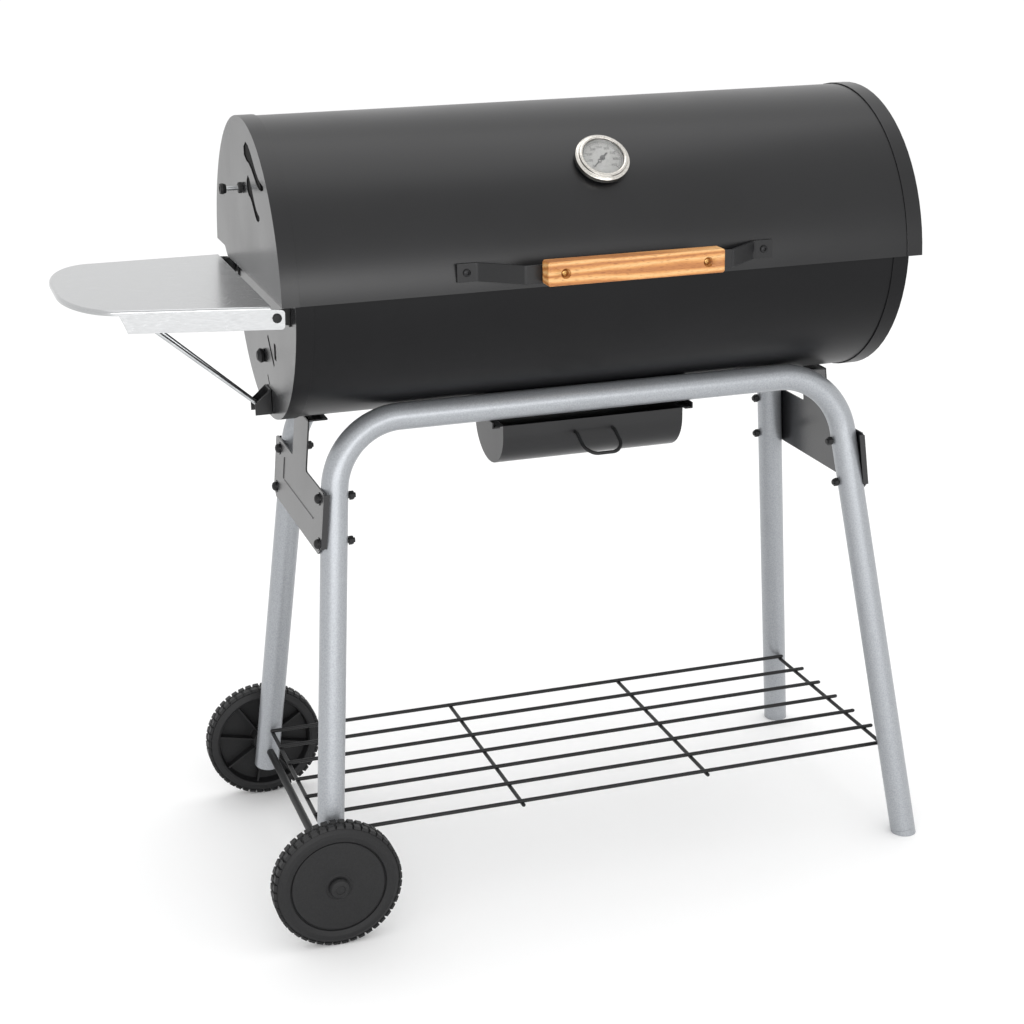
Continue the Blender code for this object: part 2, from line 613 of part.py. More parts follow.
def build_brackets():
    """A plate across each pair of legs, with a web up to the barrel and turned edges."""
    for xs, side, word in ((LEFT_LEG_X, -1, "left"), (RIGHT_LEG_X, 1, "right")):
        def face_x(z):
            return leg_point(xs, 1, z).x + side * (TUBE_R + 0.0004)

        outline = [(-0.127, 0.530), (-0.127, 0.462), (-0.117, 0.453), (0.117, 0.453), (0.127, 0.462),
                   (0.127, 0.530), (0.060, 0.540), (0.048, 0.528), (0.036, 0.536), (0.036, WEB_TOP),
                   (-0.036, WEB_TOP), (-0.036, 0.536), (-0.048, 0.530)]
        points = [(face_x(z), y, z) for y, z in outline]
        faces = [list(range(len(outline)))]
        top = face_x(WEB_TOP) - side * 0.022
        points += [(top, 0.036, WEB_TOP), (top, -0.036, WEB_TOP)]
        faces.append([9, 13, 14, 10])
        for a, b in ((0, 1), (5, 4)):
            first = len(points)
            y = outline[a][0]
            points += [(face_x(outline[a][1]) + side * 0.010, y, outline[a][1]),
                       (face_x(outline[b][1]) + side * 0.010, y, outline[b][1])]
            faces.append([a, b, first + 1, first])
        plate = sheet(f"{word}_leg_bracket", points, faces, (-side, 0, 0), 0.002, "black")
        for leg_side, leg_word in ((-1, "front"), (1, "rear")):
            for height, level in ((0.518, "upper"), (0.466, "lower")):
                spot = leg_point(xs, leg_side, height)
                hole = rod(f"{word}_{leg_word}_{level}_plate_cutter", spot - Vector((0.03, 0, 0)),
                           spot + Vector((0.03, 0, 0)), 0.0037, "black", 10)
                cut(plate, hole)
            spot = leg_point(xs, leg_side, 0.518)
            build_bolt(f"{word}_{leg_word}_bolt", spot, side)


def build_bolt(name, spot, side):
    """A button-head bolt through bracket and tube, with its nut on the inner side."""
    head = TUBE_R + 0.0038
    nut = -(TUBE_R + 0.0014)
    profile = [(0, nut - 0.0075), (0.003, nut - 0.0075), (0.003, nut - 0.005), (0.0055, nut - 0.005),
               (0.0055, nut), (0.003, nut), (0.003, head), (0.006, head), (0.0055, head + 0.0025),
               (0.003, head + 0.0040), (0, head + 0.0042)]
    lathe(name, profile, spot, (side, 0, 0), "plastic", 12)


def build_wheels():
    x = leg_point(LEFT_LEG_X, 1, WHEEL_R).x
    rod("axle", (x, -WHEEL_OUT - 0.004, WHEEL_R), (x, WHEEL_OUT + 0.004, WHEEL_R), AXLE_R, "steel", 16)
    bore = AXLE_R + 0.0005
    profile = [(bore, 0.0), (0.014, 0.0), (0.016, -0.004), (0.055, -0.004), (0.060, -0.0015), (0.066, -0.001),
               (0.072, -0.0035), (WHEEL_R - 0.001, -0.007), (WHEEL_R, -0.0135), (WHEEL_R - 0.001, -0.020),
               (0.072, -0.0245), (0.064, -WHEEL_W), (0.061, -0.022), (0.059, -0.010), (0.018, -0.010),
               (0.014, -WHEEL_W), (bore, -WHEEL_W)]
    cap = [(0, 0.0045), (bore, 0.0045), (bore, 0.0008), (0.0125, 0.0008), (0.0125, 0.0030),
           (0.0105, 0.0068), (0, 0.0078)]
    for side, word in ((-1, "front"), (1, "rear")):
        lathe(f"{word}_wheel", profile, (x, side * WHEEL_OUT, WHEEL_R), (0, side, 0), "plastic", 32)
        lathe(f"{word}_hub_cap", cap, (x, side * WHEEL_OUT, WHEEL_R), (0, side, 0), "plastic", 20)


def build_wire_shelf():
    """Seven long wires over four cross wires, welded where they cross."""
    radius = 0.0025
    left = leg_point(LEFT_LEG_X, 1, SHELF_WIRE_Z).x
    right = leg_point(RIGHT_LEG_X, 1, SHELF_WIRE_Z).x
    reach = leg_point(LEFT_LEG_X, 1, SHELF_WIRE_Z).y - TUBE_R - 0.0012
    crosses = (left, left + (right - left) * 0.333, left + (right - left) * 0.664, right)
    wires = []
    for i in range(7):
        y = (i - 3) * WIRE_PITCH
        tail = 0.0 if abs(i - 3) == 3 else 0.008
        wires.append(rod(f"long_wire_{i}", (left - 0.004, y, SHELF_WIRE_Z + 0.002),
                         (right + 0.004 + tail, y, SHELF_WIRE_Z + 0.002), radius, "black", 8))
    for i, x in enumerate(crosses):
        half = reach if i in (0, 3) else 3 * WIRE_PITCH + 0.006
        wires.append(rod(f"cross_wire_{i}", (x, -half, SHELF_WIRE_Z - 0.002), (x, half, SHELF_WIRE_Z - 0.002),
                         radius, "black", 8))
    shelf = wires[-1]
    shelf.name = "wire_shelf"
    for wire in wires[:-1]:
        join(shelf, wire)


# ---- side shelf ----
def side_outline():
    """Half width of the shelf against distance from its pivot, with rounded outer corners."""
    corner, deep = 0.060, 0.110
    straight = SIDE_LENGTH - corner
    rows = [(0.0065, SIDE_HALF[0]), (straight, SIDE_HALF[1])]
    for step in range(1, 6):
        turn = math.radians(18 * step)
        rows.append((straight + corner * math.sin(turn), SIDE_HALF[1] - deep * (1 - math.cos(turn))))
    return rows


def build_side_shelf():
    x0, z0 = SIDE_AXIS
    top = 0.013
    rows = side_outline()
    points = []
    for reach, half in rows:
        points += [(-reach, -half, top), (-reach, half, top)]
    faces = [[2 * i, 2 * i + 1, 2 * i + 3, 2 * i + 2] for i in range(len(rows) - 1)]
    lip = 0.006
    for sign in (0, 1):
        for i in range(1, len(rows) - 1):
            first = len(points)
            for row in (i, i + 1):
                x, y, _ = points[2 * row + sign]
                points.append((x, y, top - lip))
            faces.append([2 * i + sign, 2 * i + 2 + sign, first + 1, first])
        first = len(points)
        end_x, end_y, _ = points[2 + sign]
        slope = (end_y - points[sign][1]) / (end_x - points[sign][0])
        for x, z in ((0.009, top - 0.004), (0.009, top - APRON + 0.004), (0.004, top - APRON),
                     (end_x + 0.006, top - APRON), (end_x, top - APRON + 0.010), (end_x, top - lip)):
            points.append((x, end_y + slope * (x - end_x), z))
        faces.append([sign] + list(range(first, first + 6)) + [2 + sign])
    last = len(rows) - 1
    first = len(points)
    for sign in (0, 1):
        x, y, _ = points[2 * last + sign]
        points.append((x, y, top - lip))
    faces.append([2 * last, 2 * last + 1, first + 1, first])
    tilt = Matrix.Rotation(math.radians(SIDE_RISE), 4, "Y")
    placed = [tuple(tilt @ Vector(p) + Vector((x0, SIDE_MID_Y, z0))) for p in points]
    shelf = sheet("side_shelf", placed, faces, (0, 0, 1), SHEET, "zinc")
    for side, word in ((-1, "front"), (1, "rear")):
        y = SIDE_MID_Y + side * (SIDE_HALF[0] + 0.0009)
        hole = rod(f"{word}_shelf_pivot_cutter", (x0, y - 0.01, z0), (x0, y + 0.01, z0), 0.0033, "black")
        cut(shelf, hole)
        build_shelf_bracket(word, side, y, x0, z0)
    fold = pivot("side_shelf_pivot", (x0, SIDE_MID_Y, z0))
    hang(fold, shelf)
    build_strut(fold)


def build_shelf_bracket(word, side, y, x0, z0):
    """An ear on the firebox end, inside the apron, with its pivot bolt."""
    x_wall = -FIREBOX_HALF - GAP
    inner = y - side * (SHEET + 0.0026)
    far = inner - side * 0.002
    ear = [(x_wall - 0.0008, z0 - 0.010), (x_wall - 0.0008, z0 + 0.009), (x0, z0 + 0.008), (x0 - 0.008, z0),
           (x0, z0 - 0.008)]
    bracket = prism(f"{word}_shelf_bracket", ear, min(inner, far), max(inner, far), "Y", "black")
    edges = sorted((inner + side * 0.0002, inner - side * 0.020))
    foot = box(f"{word}_shelf_bracket_foot", (x_wall - 0.0016, edges[0], z0 - 0.012),
               (x_wall, edges[1], z0 + 0.010), "black")
    join(bracket, foot)
    cut(bracket, rod(f"{word}_ear_cutter", (x0, y - 0.01, z0), (x0, y + 0.01, z0), 0.0033, "black"))
    profile = [(0, -0.0115), (0.0055, -0.0115), (0.0055, -0.0065), (0.0030, -0.0065), (0.0030, 0.0010),
               (0.0055, 0.0010), (0.0048, 0.0034), (0, 0.0042)]
    lathe(f"{word}_shelf_bolt", profile, (x0, y, z0), (0, side, 0), "plastic", 12)


def build_strut(fold):
    """A hairpin of wire: two eyes under the shelf, one loop in the hook bracket."""
    x0, z0 = SIDE_AXIS
    top = Vector((x0 - 0.158, SIDE_MID_Y, z0 + 0.0035))
    bottom = Vector((x0 + 0.0045, SIDE_MID_Y - 0.012, 0.6060))
    radius = 0.0025
    wide = 0.028
    loop = 0.006
    path = [top + Vector((0, -wide - 0.008, 0)), top + Vector((0, -wide, 0))]
    for side in (-1, 1):
        near = bottom + Vector((-0.010, side * loop, 0.0085))
        if side < 0:
            path += [top.lerp(near, 0.03) + Vector((0, -wide * 0.99, 0)), near, bottom + Vector((0, -loop, 0))]
        else:
            path += [bottom + Vector((0, loop, 0)), near, top.lerp(near, 0.03) + Vector((0, wide * 0.99, 0))]
    path += [top + Vector((0, wide, 0)), top + Vector((0, wide + 0.008, 0))]
    strut = sweep("shelf_strut", path, radius, 0, "steel", 8)
    swing = pivot("strut_pivot", top)
    hang(swing, strut)
    hang(fold, swing)
    x_wall = -FIREBOX_HALF - GAP
    y = SIDE_MID_Y - 0.012
    points = [(x_wall, y - 0.014, 0.628), (x_wall, y + 0.014, 0.628), (x_wall, y + 0.014, 0.598),
              (x_wall, y - 0.014, 0.598), (x_wall - 0.020, y - 0.014, 0.612), (x_wall - 0.020, y - 0.014, 0.598),
              (x_wall - 0.020, y + 0.014, 0.612), (x_wall - 0.020, y + 0.014, 0.598)]
    faces = [[0, 1, 2, 3], [0, 4, 5, 3], [1, 6, 7, 2]]
    sheet("strut_hook", points, faces, (1, 0, 0), 0.0015, "black")


# ---- ash pan ----
def build_ash_pan():
    """A half-round trough with flanged ends that slides out towards the front."""
    half_y = 0.056
    depth = 0.046
    steps = 10
    top = PAN_TOP_Z - 0.012
    curve = [(PAN_Y + half_y * math.cos(math.radians(180 * i / steps)),
              top - depth * math.sin(math.radians(180 * i / steps))) for i in range(steps + 1)]
    curve = [(PAN_Y + half_y, PAN_TOP_Z)] + curve + [(PAN_Y - half_y, PAN_TOP_Z)]
    count = len(curve)
    points = [(x, y, z) for x in (-PAN_HALF_X, PAN_HALF_X) for y, z in curve]
    faces = [[i, i + 1, count + i + 1, count + i] for i in range(count - 1)]
    faces += [list(range(count)), list(range(count, 2 * count))]
    wing = 0.010
    for base, side in ((0, -1), (count, 1)):
        first = len(points)
        points += [(side * (PAN_HALF_X + wing), PAN_Y + half_y, PAN_TOP_Z),
                   (side * (PAN_HALF_X + wing), PAN_Y - half_y, PAN_TOP_Z)]
        faces.append([base, first, first + 1, base + count - 1])
    pan = sheet("ash_pan", points, faces, (0, 0, -1), 0.001, "black")
    z = top - 0.004
    front = PAN_Y - half_y
    path = [(-0.024, front + 0.0060, z), (-0.024, front - 0.006, z), (-0.024, front - 0.030, z - 0.012),
            (-0.014, front - 0.040, z - 0.017), (0.014, front - 0.040, z - 0.017),
            (0.024, front - 0.030, z - 0.012), (0.024, front - 0.006, z), (0.024, front + 0.0060, z)]
    pull = sweep("ash_pan_handle", path, 0.0022, 0, "black", 8)
    hang(pivot("ash_pan_slide", (0, PAN_Y, PAN_TOP_Z)), pan, pull)
    for side in (-1, 1):
        hole = rod(f"pan_hole_cutter_{side}", (side * 0.024, front - 0.02, z), (side * 0.024, front + 0.02, z),
                   0.0026, "black", 10)
        cut(pan, hole)
    for side, word in ((-1, "left"), (1, "right")):
        build_hanger(word, side)


def build_hanger(word, side):
    """A plate under the firebox, shaped to it, with a lip that holds one flange of the pan."""
    inner = side * (PAN_HALF_X + 0.0035)
    outer = side * (PAN_HALF_X + 0.0120)
    low = PAN_TOP_Z - GAP
    front = PAN_Y - 0.056
    back = PAN_Y + 0.060
    radius = FIREBOX_R + 0.0006
    start = math.degrees(math.acos(back / radius))
    step_y = -RAIL_Y + TUBE_R + 0.0020
    end = math.degrees(math.acos(step_y / radius))
    top = arc((0.0, FIREBOX_AXIS_Z), radius, -start, -end, 8)
    outline = [(front, low - 0.0012), (back, low - 0.0012)] + top
    outline += [(step_y, low + 0.0060), (front, low + 0.0060)]
    edges = sorted((outer, outer + side * 0.0015))
    web = prism(f"{word}_pan_hanger", outline, edges[0], edges[1], "X", "black")
    lips = sorted((inner, outer + side * 0.0008))
    join(web, box(f"{word}_hanger_lip", (lips[0], front + 0.0004, low - 0.0016),
                  (lips[1], back - 0.0004, low), "black"))


def build():
    clear_scene()
    build_firebox()
    build_grates()
    build_lid()
    build_frames()
    build_brackets()
    build_wheels()
    build_wire_shelf()
    build_side_shelf()
    build_ash_pan()
    for item in bpy.data.objects:
        if item.parent is None:
            item.location.x += FOOTPRINT_SHIFT
    bpy.context.view_layer.update()


build()
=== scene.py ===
"""Looks of the barrel charcoal grill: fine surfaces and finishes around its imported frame.

Everything is in metres in the frame's own axes: +X runs along the barrel away from the side shelf,
-Y is the cook's side, +Z is up and the floor is z = 0.
"""
import json
import math

import bmesh
import bpy
import numpy as np
from mathutils import Matrix, Vector

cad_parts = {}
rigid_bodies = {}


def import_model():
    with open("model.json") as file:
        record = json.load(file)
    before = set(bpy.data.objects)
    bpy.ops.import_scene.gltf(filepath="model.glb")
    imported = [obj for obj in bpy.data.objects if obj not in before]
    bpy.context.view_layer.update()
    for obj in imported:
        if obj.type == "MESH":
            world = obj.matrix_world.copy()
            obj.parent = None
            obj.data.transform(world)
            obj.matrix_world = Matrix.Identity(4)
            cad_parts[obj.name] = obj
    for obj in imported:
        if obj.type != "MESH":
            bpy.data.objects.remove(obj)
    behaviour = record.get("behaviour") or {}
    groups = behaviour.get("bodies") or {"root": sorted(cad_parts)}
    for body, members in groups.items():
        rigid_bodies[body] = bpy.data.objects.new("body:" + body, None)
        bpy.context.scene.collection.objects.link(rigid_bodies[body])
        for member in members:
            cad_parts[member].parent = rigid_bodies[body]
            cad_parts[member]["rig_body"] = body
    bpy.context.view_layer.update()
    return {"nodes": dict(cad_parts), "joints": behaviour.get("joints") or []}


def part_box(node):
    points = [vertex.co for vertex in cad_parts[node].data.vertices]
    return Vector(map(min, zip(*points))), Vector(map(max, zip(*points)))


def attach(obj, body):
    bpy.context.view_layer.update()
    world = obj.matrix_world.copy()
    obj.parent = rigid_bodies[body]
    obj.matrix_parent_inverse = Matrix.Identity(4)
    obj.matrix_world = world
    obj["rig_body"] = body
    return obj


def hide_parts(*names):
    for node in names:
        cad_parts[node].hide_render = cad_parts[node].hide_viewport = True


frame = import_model()

# ---- places, read from the frame ----
low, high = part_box("lid_shell")
MID_X = (low.x + high.x) / 2
JOINTS = {joint["name"]: joint for joint in frame["joints"]}
LID_R = 0.1895                       # outside radius of the lid
LID_AXIS = (0.011, 0.753)            # y, z of its axis
LID_HALF = 0.3887                    # half the lid's length, over its end plates
LID_FRONT_Z = low.z
LID_REAR_Z = 0.771                   # the rear edge, over the hinges
SHEET = 0.0012                       # thickness of the rolled steel
HANDLE_Z = 0.784                     # middle of the straps
RAIL = (0.095, 0.6031)               # y, z of the stand's top rails
FOOT_Y = 0.1932                      # y of a leg at the floor
LEFT_LEG = (MID_X - 0.3161, MID_X - 0.3729)     # x at the rail, x at the floor
RIGHT_LEG = (MID_X + 0.3211, MID_X + 0.3968)
TUBE_R = 0.016
WHEEL_R = 0.078
LUGS = 46                            # tread lugs in one row of a wheel
WHEEL_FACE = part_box("rear_wheel")[1].y
WIRE_Z = 0.111                       # where the shelf's long and cross wires meet
BOLT_ROWS = (0.518, 0.466)           # z of the bracket bolts
SHELF_INNER = 0.0065                 # where the side shelf's top starts, out from the pivot
SHELF_HALF = 0.160                   # half its width there
SHELF_TAPER = 0.0215                 # what each side has come in by where the round corners start
SHELF_TOP = 0.013                    # over the pivot
SHELF_DROP = 0.026                   # depth of the apron
PAN_Y = -0.045                       # middle of the ash pan, where it rests
PAN_TOP = 0.579
CREASE = 35                          # degrees between faces that makes an edge look sharp


# ---- colour and nodes ----
def rgb(code):
    """An sRGB hex colour as linear red, green, blue and 1."""
    parts = [int(code[i:i + 2], 16) / 255 for i in (1, 3, 5)]
    return [p / 12.92 if p <= 0.04045 else ((p + 0.055) / 1.055) ** 2.4 for p in parts] + [1.0]


def new_material(name, code, roughness, metallic=0.0, ior=None):
    """A material and its shader, with the finish's base values."""
    made = bpy.data.materials.new(name)
    made.use_nodes = True
    shader = made.node_tree.nodes["Principled BSDF"]
    shader.inputs["Base Color"].default_value = rgb(code)
    shader.inputs["Roughness"].default_value = roughness
    shader.inputs["Metallic"].default_value = metallic
    if ior:
        shader.inputs["IOR"].default_value = ior
    return made, shader


def add(material, kind, links=(), **settings):
    """Adds a node, sets its sockets and fields by name, and links (socket, from node, from socket)."""
    node = material.node_tree.nodes.new(kind)
    for key, value in settings.items():
        if hasattr(node, key):
            setattr(node, key, value)
        else:
            node.inputs[key.replace("_", " ")].default_value = value
    for socket, source, out in links:
        material.node_tree.links.new(source.outputs[out], node.inputs[socket])
    return node


def stretched(material, scale):
    """Object coordinates, multiplied by a scale along each axis."""
    where = add(material, "ShaderNodeTexCoord")
    return add(material, "ShaderNodeMapping", [("Vector", where, "Object")], Scale=scale)


def ramp(material, source, stops):
    """Colours at places along a noise's 0 to 1."""
    node = add(material, "ShaderNodeValToRGB", [("Fac", source, "Fac")])
    node.color_ramp.elements[0].position = stops[0][0]
    node.color_ramp.elements[0].color = rgb(stops[0][1])
    node.color_ramp.elements[1].position = stops[-1][0]
    node.color_ramp.elements[1].color = rgb(stops[-1][1])
    for place, code in stops[1:-1]:
        node.color_ramp.elements.new(place).color = rgb(code)
    return node


def vary(material, shader, source, socket, low_value, high_value):
    """A noise carried to a socket, between two values."""
    span = add(material, "ShaderNodeMapRange", [("Value", source, "Fac")], To_Min=low_value,
               To_Max=high_value)
    material.node_tree.links.new(span.outputs["Result"], shader.inputs[socket])


def bump(material, shader, source, strength, distance):
    """A noise as small height, in metres."""
    node = add(material, "ShaderNodeBump", [("Height", source, "Fac")], Strength=strength, Distance=distance)
    material.node_tree.links.new(node.outputs["Normal"], shader.inputs["Normal"])


def colour_from(material, shader, node):
    """A node's colour carried to the base colour."""
    material.node_tree.links.new(node.outputs["Color"], shader.inputs["Base Color"])


def powder_coat(name, dark, light, roughness, gloss=0.3):
    """Black powder coat over sheet steel: satin, with a faint orange peel and slightly uneven gloss."""
    made, shader = new_material(name, dark, roughness)
    # Orange peel is 1 to 2 mm across; it is drawn at 2.5 mm, so that it shows.
    peel = add(made, "ShaderNodeTexNoise", [("Vector", stretched(made, (1, 1, 1)), "Vector")], Scale=400.0,
               Detail=2.0)
    bump(made, shader, peel, 0.05, 0.0004)
    cloud = add(made, "ShaderNodeTexNoise", [("Vector", stretched(made, (1, 1, 1)), "Vector")], Scale=9.0,
                Detail=5.0)
    colour_from(made, shader, ramp(made, cloud, [(0.3, dark), (0.7, light)]))
    vary(made, shader, cloud, "Roughness", roughness - 0.05, roughness + 0.07)
    shader.inputs["Specular IOR Level"].default_value = gloss
    return made


def bare_metal(name, dark, light, roughness, grain, spacing_mm):
    """Bare or plated metal: fine streaks, spacing_mm apart, along the axis that grain keeps short."""
    made, shader = new_material(name, light, roughness, 1.0)
    streak = add(made, "ShaderNodeTexNoise", [("Vector", stretched(made, grain), "Vector")],
                 Scale=1000.0 / spacing_mm, Detail=3.0)
    colour_from(made, shader, ramp(made, streak, [(0.3, dark), (0.7, light)]))
    vary(made, shader, streak, "Roughness", roughness - 0.07, roughness + 0.08)
    bump(made, shader, streak, 0.04, 0.0002)
    return made


def silver_paint():
    """Silver paint over steel tube: metal flake under a soft gloss, with slight clouding."""
    made, shader = new_material("silver_flake_paint", "#9c9fa3", 0.36, 0.55)
    # Flake is far finer than a millimetre; it is drawn at 1.6 mm, so that it shows.
    flake = add(made, "ShaderNodeTexNoise", [("Vector", stretched(made, (1, 1, 1)), "Vector")], Scale=620.0,
                Detail=2.0)
    colour_from(made, shader, ramp(made, flake, [(0.3, "#93969a"), (0.7, "#a5a8ac")]))
    vary(made, shader, flake, "Roughness", 0.34, 0.44)
    bump(made, shader, flake, 0.04, 0.0003)
    shader.inputs["Coat Weight"].default_value = 0.15
    shader.inputs["Coat Roughness"].default_value = 0.2
    return made


def oak():
    """Oiled oak: rings cut nearly flat give long bowed figure 8 to 12 mm apart, with short dark pores."""
    made, shader = new_material("oiled_oak", "#c98c50", 0.5)
    bow = add(made, "ShaderNodeTexNoise", [("Vector", stretched(made, (5, 60, 60)), "Vector")], Scale=1.0,
              Detail=3.0)
    figure = add(made, "ShaderNodeTexWave", [("Vector", stretched(made, (0.9, 6, 9)), "Vector")],
                 wave_type="BANDS", bands_direction="Z", Scale=4.0, Distortion=9.0, Detail=4.0)
    made.node_tree.links.new(bow.outputs["Fac"], figure.inputs["Phase Offset"])
    tone = ramp(made, figure, [(0.05, "#a96d38"), (0.35, "#c28548"), (0.75, "#cf985c"), (1.0, "#d9ab72")])
    # Oak's pores are 0.3 mm wide and up to 8 mm long.
    pores = add(made, "ShaderNodeTexNoise", [("Vector", stretched(made, (130, 1900, 1900)), "Vector")],
                Scale=1.0, Detail=2.0)
    dark = ramp(made, pores, [(0.34, "#8a5a2c"), (0.46, "#ffffff")])
    mixed = add(made, "ShaderNodeMix", [(6, tone, "Color"), (7, dark, "Color")], data_type="RGBA",
                blend_type="MULTIPLY", Factor=0.55)
    made.node_tree.links.new(mixed.outputs[2], shader.inputs["Base Color"])
    vary(made, shader, pores, "Roughness", 0.55, 0.42)
    bump(made, shader, pores, 0.12, 0.0003)
    return made


def moulded_plastic():
    """Black polypropylene, moulded against an eroded tool: matt with a fine even grain."""
    made, shader = new_material("moulded_polypropylene", "#1a1a1b", 0.5, ior=1.49)
    grain = add(made, "ShaderNodeTexNoise", [("Vector", stretched(made, (1, 1, 1)), "Vector")], Scale=700.0,
                Detail=2.0)
    vary(made, shader, grain, "Roughness", 0.44, 0.6)
    colour_from(made, shader, ramp(made, grain, [(0.3, "#171718"), (0.7, "#202021")]))
    bump(made, shader, grain, 0.12, 0.0003)
    shader.inputs["Specular IOR Level"].default_value = 0.3
    return made


def plain_print(name, code, light, roughness):
    """Printed or enamelled metal: even, with a slight mottle."""
    made, shader = new_material(name, code, roughness)
    mottle = add(made, "ShaderNodeTexNoise", [("Vector", stretched(made, (1, 1, 1)), "Vector")], Scale=300.0)
    colour_from(made, shader, ramp(made, mottle, [(0.35, code), (0.65, light)]))
    return made


def float_glass():
    """Clear glass over the dial."""
    made, shader = new_material("float_glass", "#fbfbfb", 0.02, ior=1.5)
    shader.inputs["Transmission Weight"].default_value = 1.0
    return made


LOOKS = {
    "black_paint": powder_coat("satin_powder_coat", "#0d0d0f", "#111113", 0.32, 0.42),
    "fire_paint": powder_coat("heat_proof_coat", "#0b0b0d", "#0f0f11", 0.34, 0.18),
    # Smoother, glossier coat for the end plates' flats and the leg brackets. Its gloss and roughness are the
    # coat's own. Its base colour is lighter than the lid's paint as painted reflection of the bright studio
    # at their left.
    "plate_paint": powder_coat("smooth_powder_coat", "#161618", "#1a1a1c", 0.24, 0.6),
    # Painted shade: a near-black matt coat for the lid's vent damper, standing for the dark inside of the
    # open vent.
    "soot": powder_coat("sooted_steel", "#050505", "#070707", 0.85),
    "silver_paint": silver_paint(),
    "brushed_steel": bare_metal("brushed_sheet_steel", "#b0b1b2", "#bcbdbe", 0.24, (0.05, 1, 1), 1.0),
    "zinc_wire": bare_metal("drawn_zinc_wire", "#a9abad", "#c9cbcc", 0.30, (0.1, 1, 0.1), 1.5),
    "dark_screw": bare_metal("blackened_steel", "#2a2a2b", "#3a3a3b", 0.38, (1, 1, 1), 2.0),
    "yellow_screw": bare_metal("yellow_zinc_plate", "#a98250", "#c49a62", 0.30, (1, 1, 1), 2.0),
    "zinc_plate": bare_metal("zinc_plated_steel", "#9fa0a1", "#bdbebe", 0.34, (1, 1, 1), 2.0),
    "bright_steel": bare_metal("polished_stainless", "#bdb9b2", "#dcd9d3", 0.17, (1, 0.2, 1), 1.5),
    "oak": oak(),
    "black_plastic": moulded_plastic(),
    "black_wire": powder_coat("coated_wire", "#161617", "#1b1b1c", 0.42),
    "dial": plain_print("enamelled_dial", "#bdbdba", "#c6c6c3", 0.45),
    "needle_black": plain_print("black_print", "#141414", "#181818", 0.5),
    "clear_glass": float_glass(),
}


# ---- surfaces ----
def put(name, points, faces, body, look, replaces=(), sharp=CREASE, slot=None, even=True):
    """Makes the piece from its points and faces, closes its seams, and hands it to its body."""
    mesh = bpy.data.meshes.new(name)
    mesh.from_pydata(points.tolist(), [], faces)
    work = bmesh.new()
    work.from_mesh(mesh)
    bmesh.ops.remove_doubles(work, verts=work.verts, dist=2e-6)
    bmesh.ops.dissolve_degenerate(work, dist=1e-6, edges=work.edges)
    bmesh.ops.recalc_face_normals(work, faces=work.faces)
    work.to_mesh(mesh)
    work.free()
    mesh.shade_smooth()
    mesh.set_sharp_from_angle(angle=math.radians(sharp))
    mesh.materials.append(LOOKS[look])
    made = bpy.data.objects.new(name, mesh)
    bpy.context.scene.collection.objects.link(made)
    if even:
        made.modifiers.new("even_shading", "WEIGHTED_NORMAL").keep_sharp = True
    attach(made, body)
    if replaces:
        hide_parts(*replaces)
    return made


def skin(rings, closed=False):
    """Rings of points, (rings, points, 3), each joined to the next, with flat ends or closed to the first."""
    count, around = rings.shape[:2]
    index = np.arange(count * around).reshape(count, around)
    first = index if closed else index[:-1]
    second = np.roll(index, -1, 0) if closed else index[1:]
    quads = np.stack([first, np.roll(first, -1, 1), np.roll(second, -1, 1), second], -1).reshape(-1, 4)
    faces = quads.tolist()
    if not closed:
        faces += [index[0][::-1].tolist(), index[-1].tolist()]
    return rings.reshape(-1, 3), faces


def both(*skins):
    """Several skins as one mesh's points and faces."""
    points, faces, base = [], [], 0
    for some, their in skins:
        points.append(some)
        faces += [[i + base for i in face] for face in their]
        base += len(some)
    return np.concatenate(points), faces


def rounded(corners, radius, steps=5, closed=True):
    """A line of corners, each replaced by an arc that touches both its sides."""
    corners = [np.asarray(c, float) for c in corners]
    count = len(corners)
    radii = radius if hasattr(radius, "__len__") else [radius] * count
    made = []
    for i, corner in enumerate(corners):
        if not closed and i in (0, count - 1) or radii[i] <= 0:
            made.append(corner[None])
            continue
        u = corners[i - 1] - corner
        v = corners[(i + 1) % count] - corner
        reach_u, reach_v = np.linalg.norm(u), np.linalg.norm(v)
        u, v = u / reach_u, v / reach_v
        half = math.acos(np.clip(u @ v, -1, 1)) / 2
        if half > 1.55:
            made.append(corner[None])
            continue
        reach = min(radii[i] / math.tan(half), 0.49 * reach_u, 0.49 * reach_v)
        size = reach * math.tan(half)
        middle = (u + v) / np.linalg.norm(u + v) * (size / math.sin(half))
        start, end = u * reach - middle, v * reach - middle
        angle = math.pi - 2 * half
        t = np.linspace(0, 1, steps + 1)[:, None]
        arc = (np.sin((1 - t) * angle) * start + np.sin(t * angle) * end) / math.sin(angle)
        made.append(corner + middle + arc)
    return np.concatenate(made)


def circle(count):
    """Points round a circle of radius 1."""
    turn = np.linspace(0, 2 * math.pi, count, endpoint=False)
    return np.stack([np.cos(turn), np.sin(turn)], -1)


def turned(profile, place, direction, around=48, closed=False):
    """Point (r, h) of the profile at angle a: place + r cos(a) u + r sin(a) v + h w, w the axis."""
    profile = np.asarray(profile, float)
    w = np.asarray(direction, float) / np.linalg.norm(direction)
    u = np.cross(w, (1, 0, 0) if abs(w[0]) < 0.9 else (0, 1, 0))
    u /= np.linalg.norm(u)
    v = np.cross(w, u)
    unit = circle(around)
    spokes = unit[:, :1] * u + unit[:, 1:] * v
    rings = profile[:, None, :1] * spokes + profile[:, None, 1:] * w + np.asarray(place, float)
    if closed:
        return skin(rings, True)
    points, faces = skin(rings)
    ends = [end for end, row in ((-2, 0), (-1, -1)) if profile[row, 0] < 1e-7]
    return points, [f for i, f in enumerate(faces) if i - len(faces) not in ends]


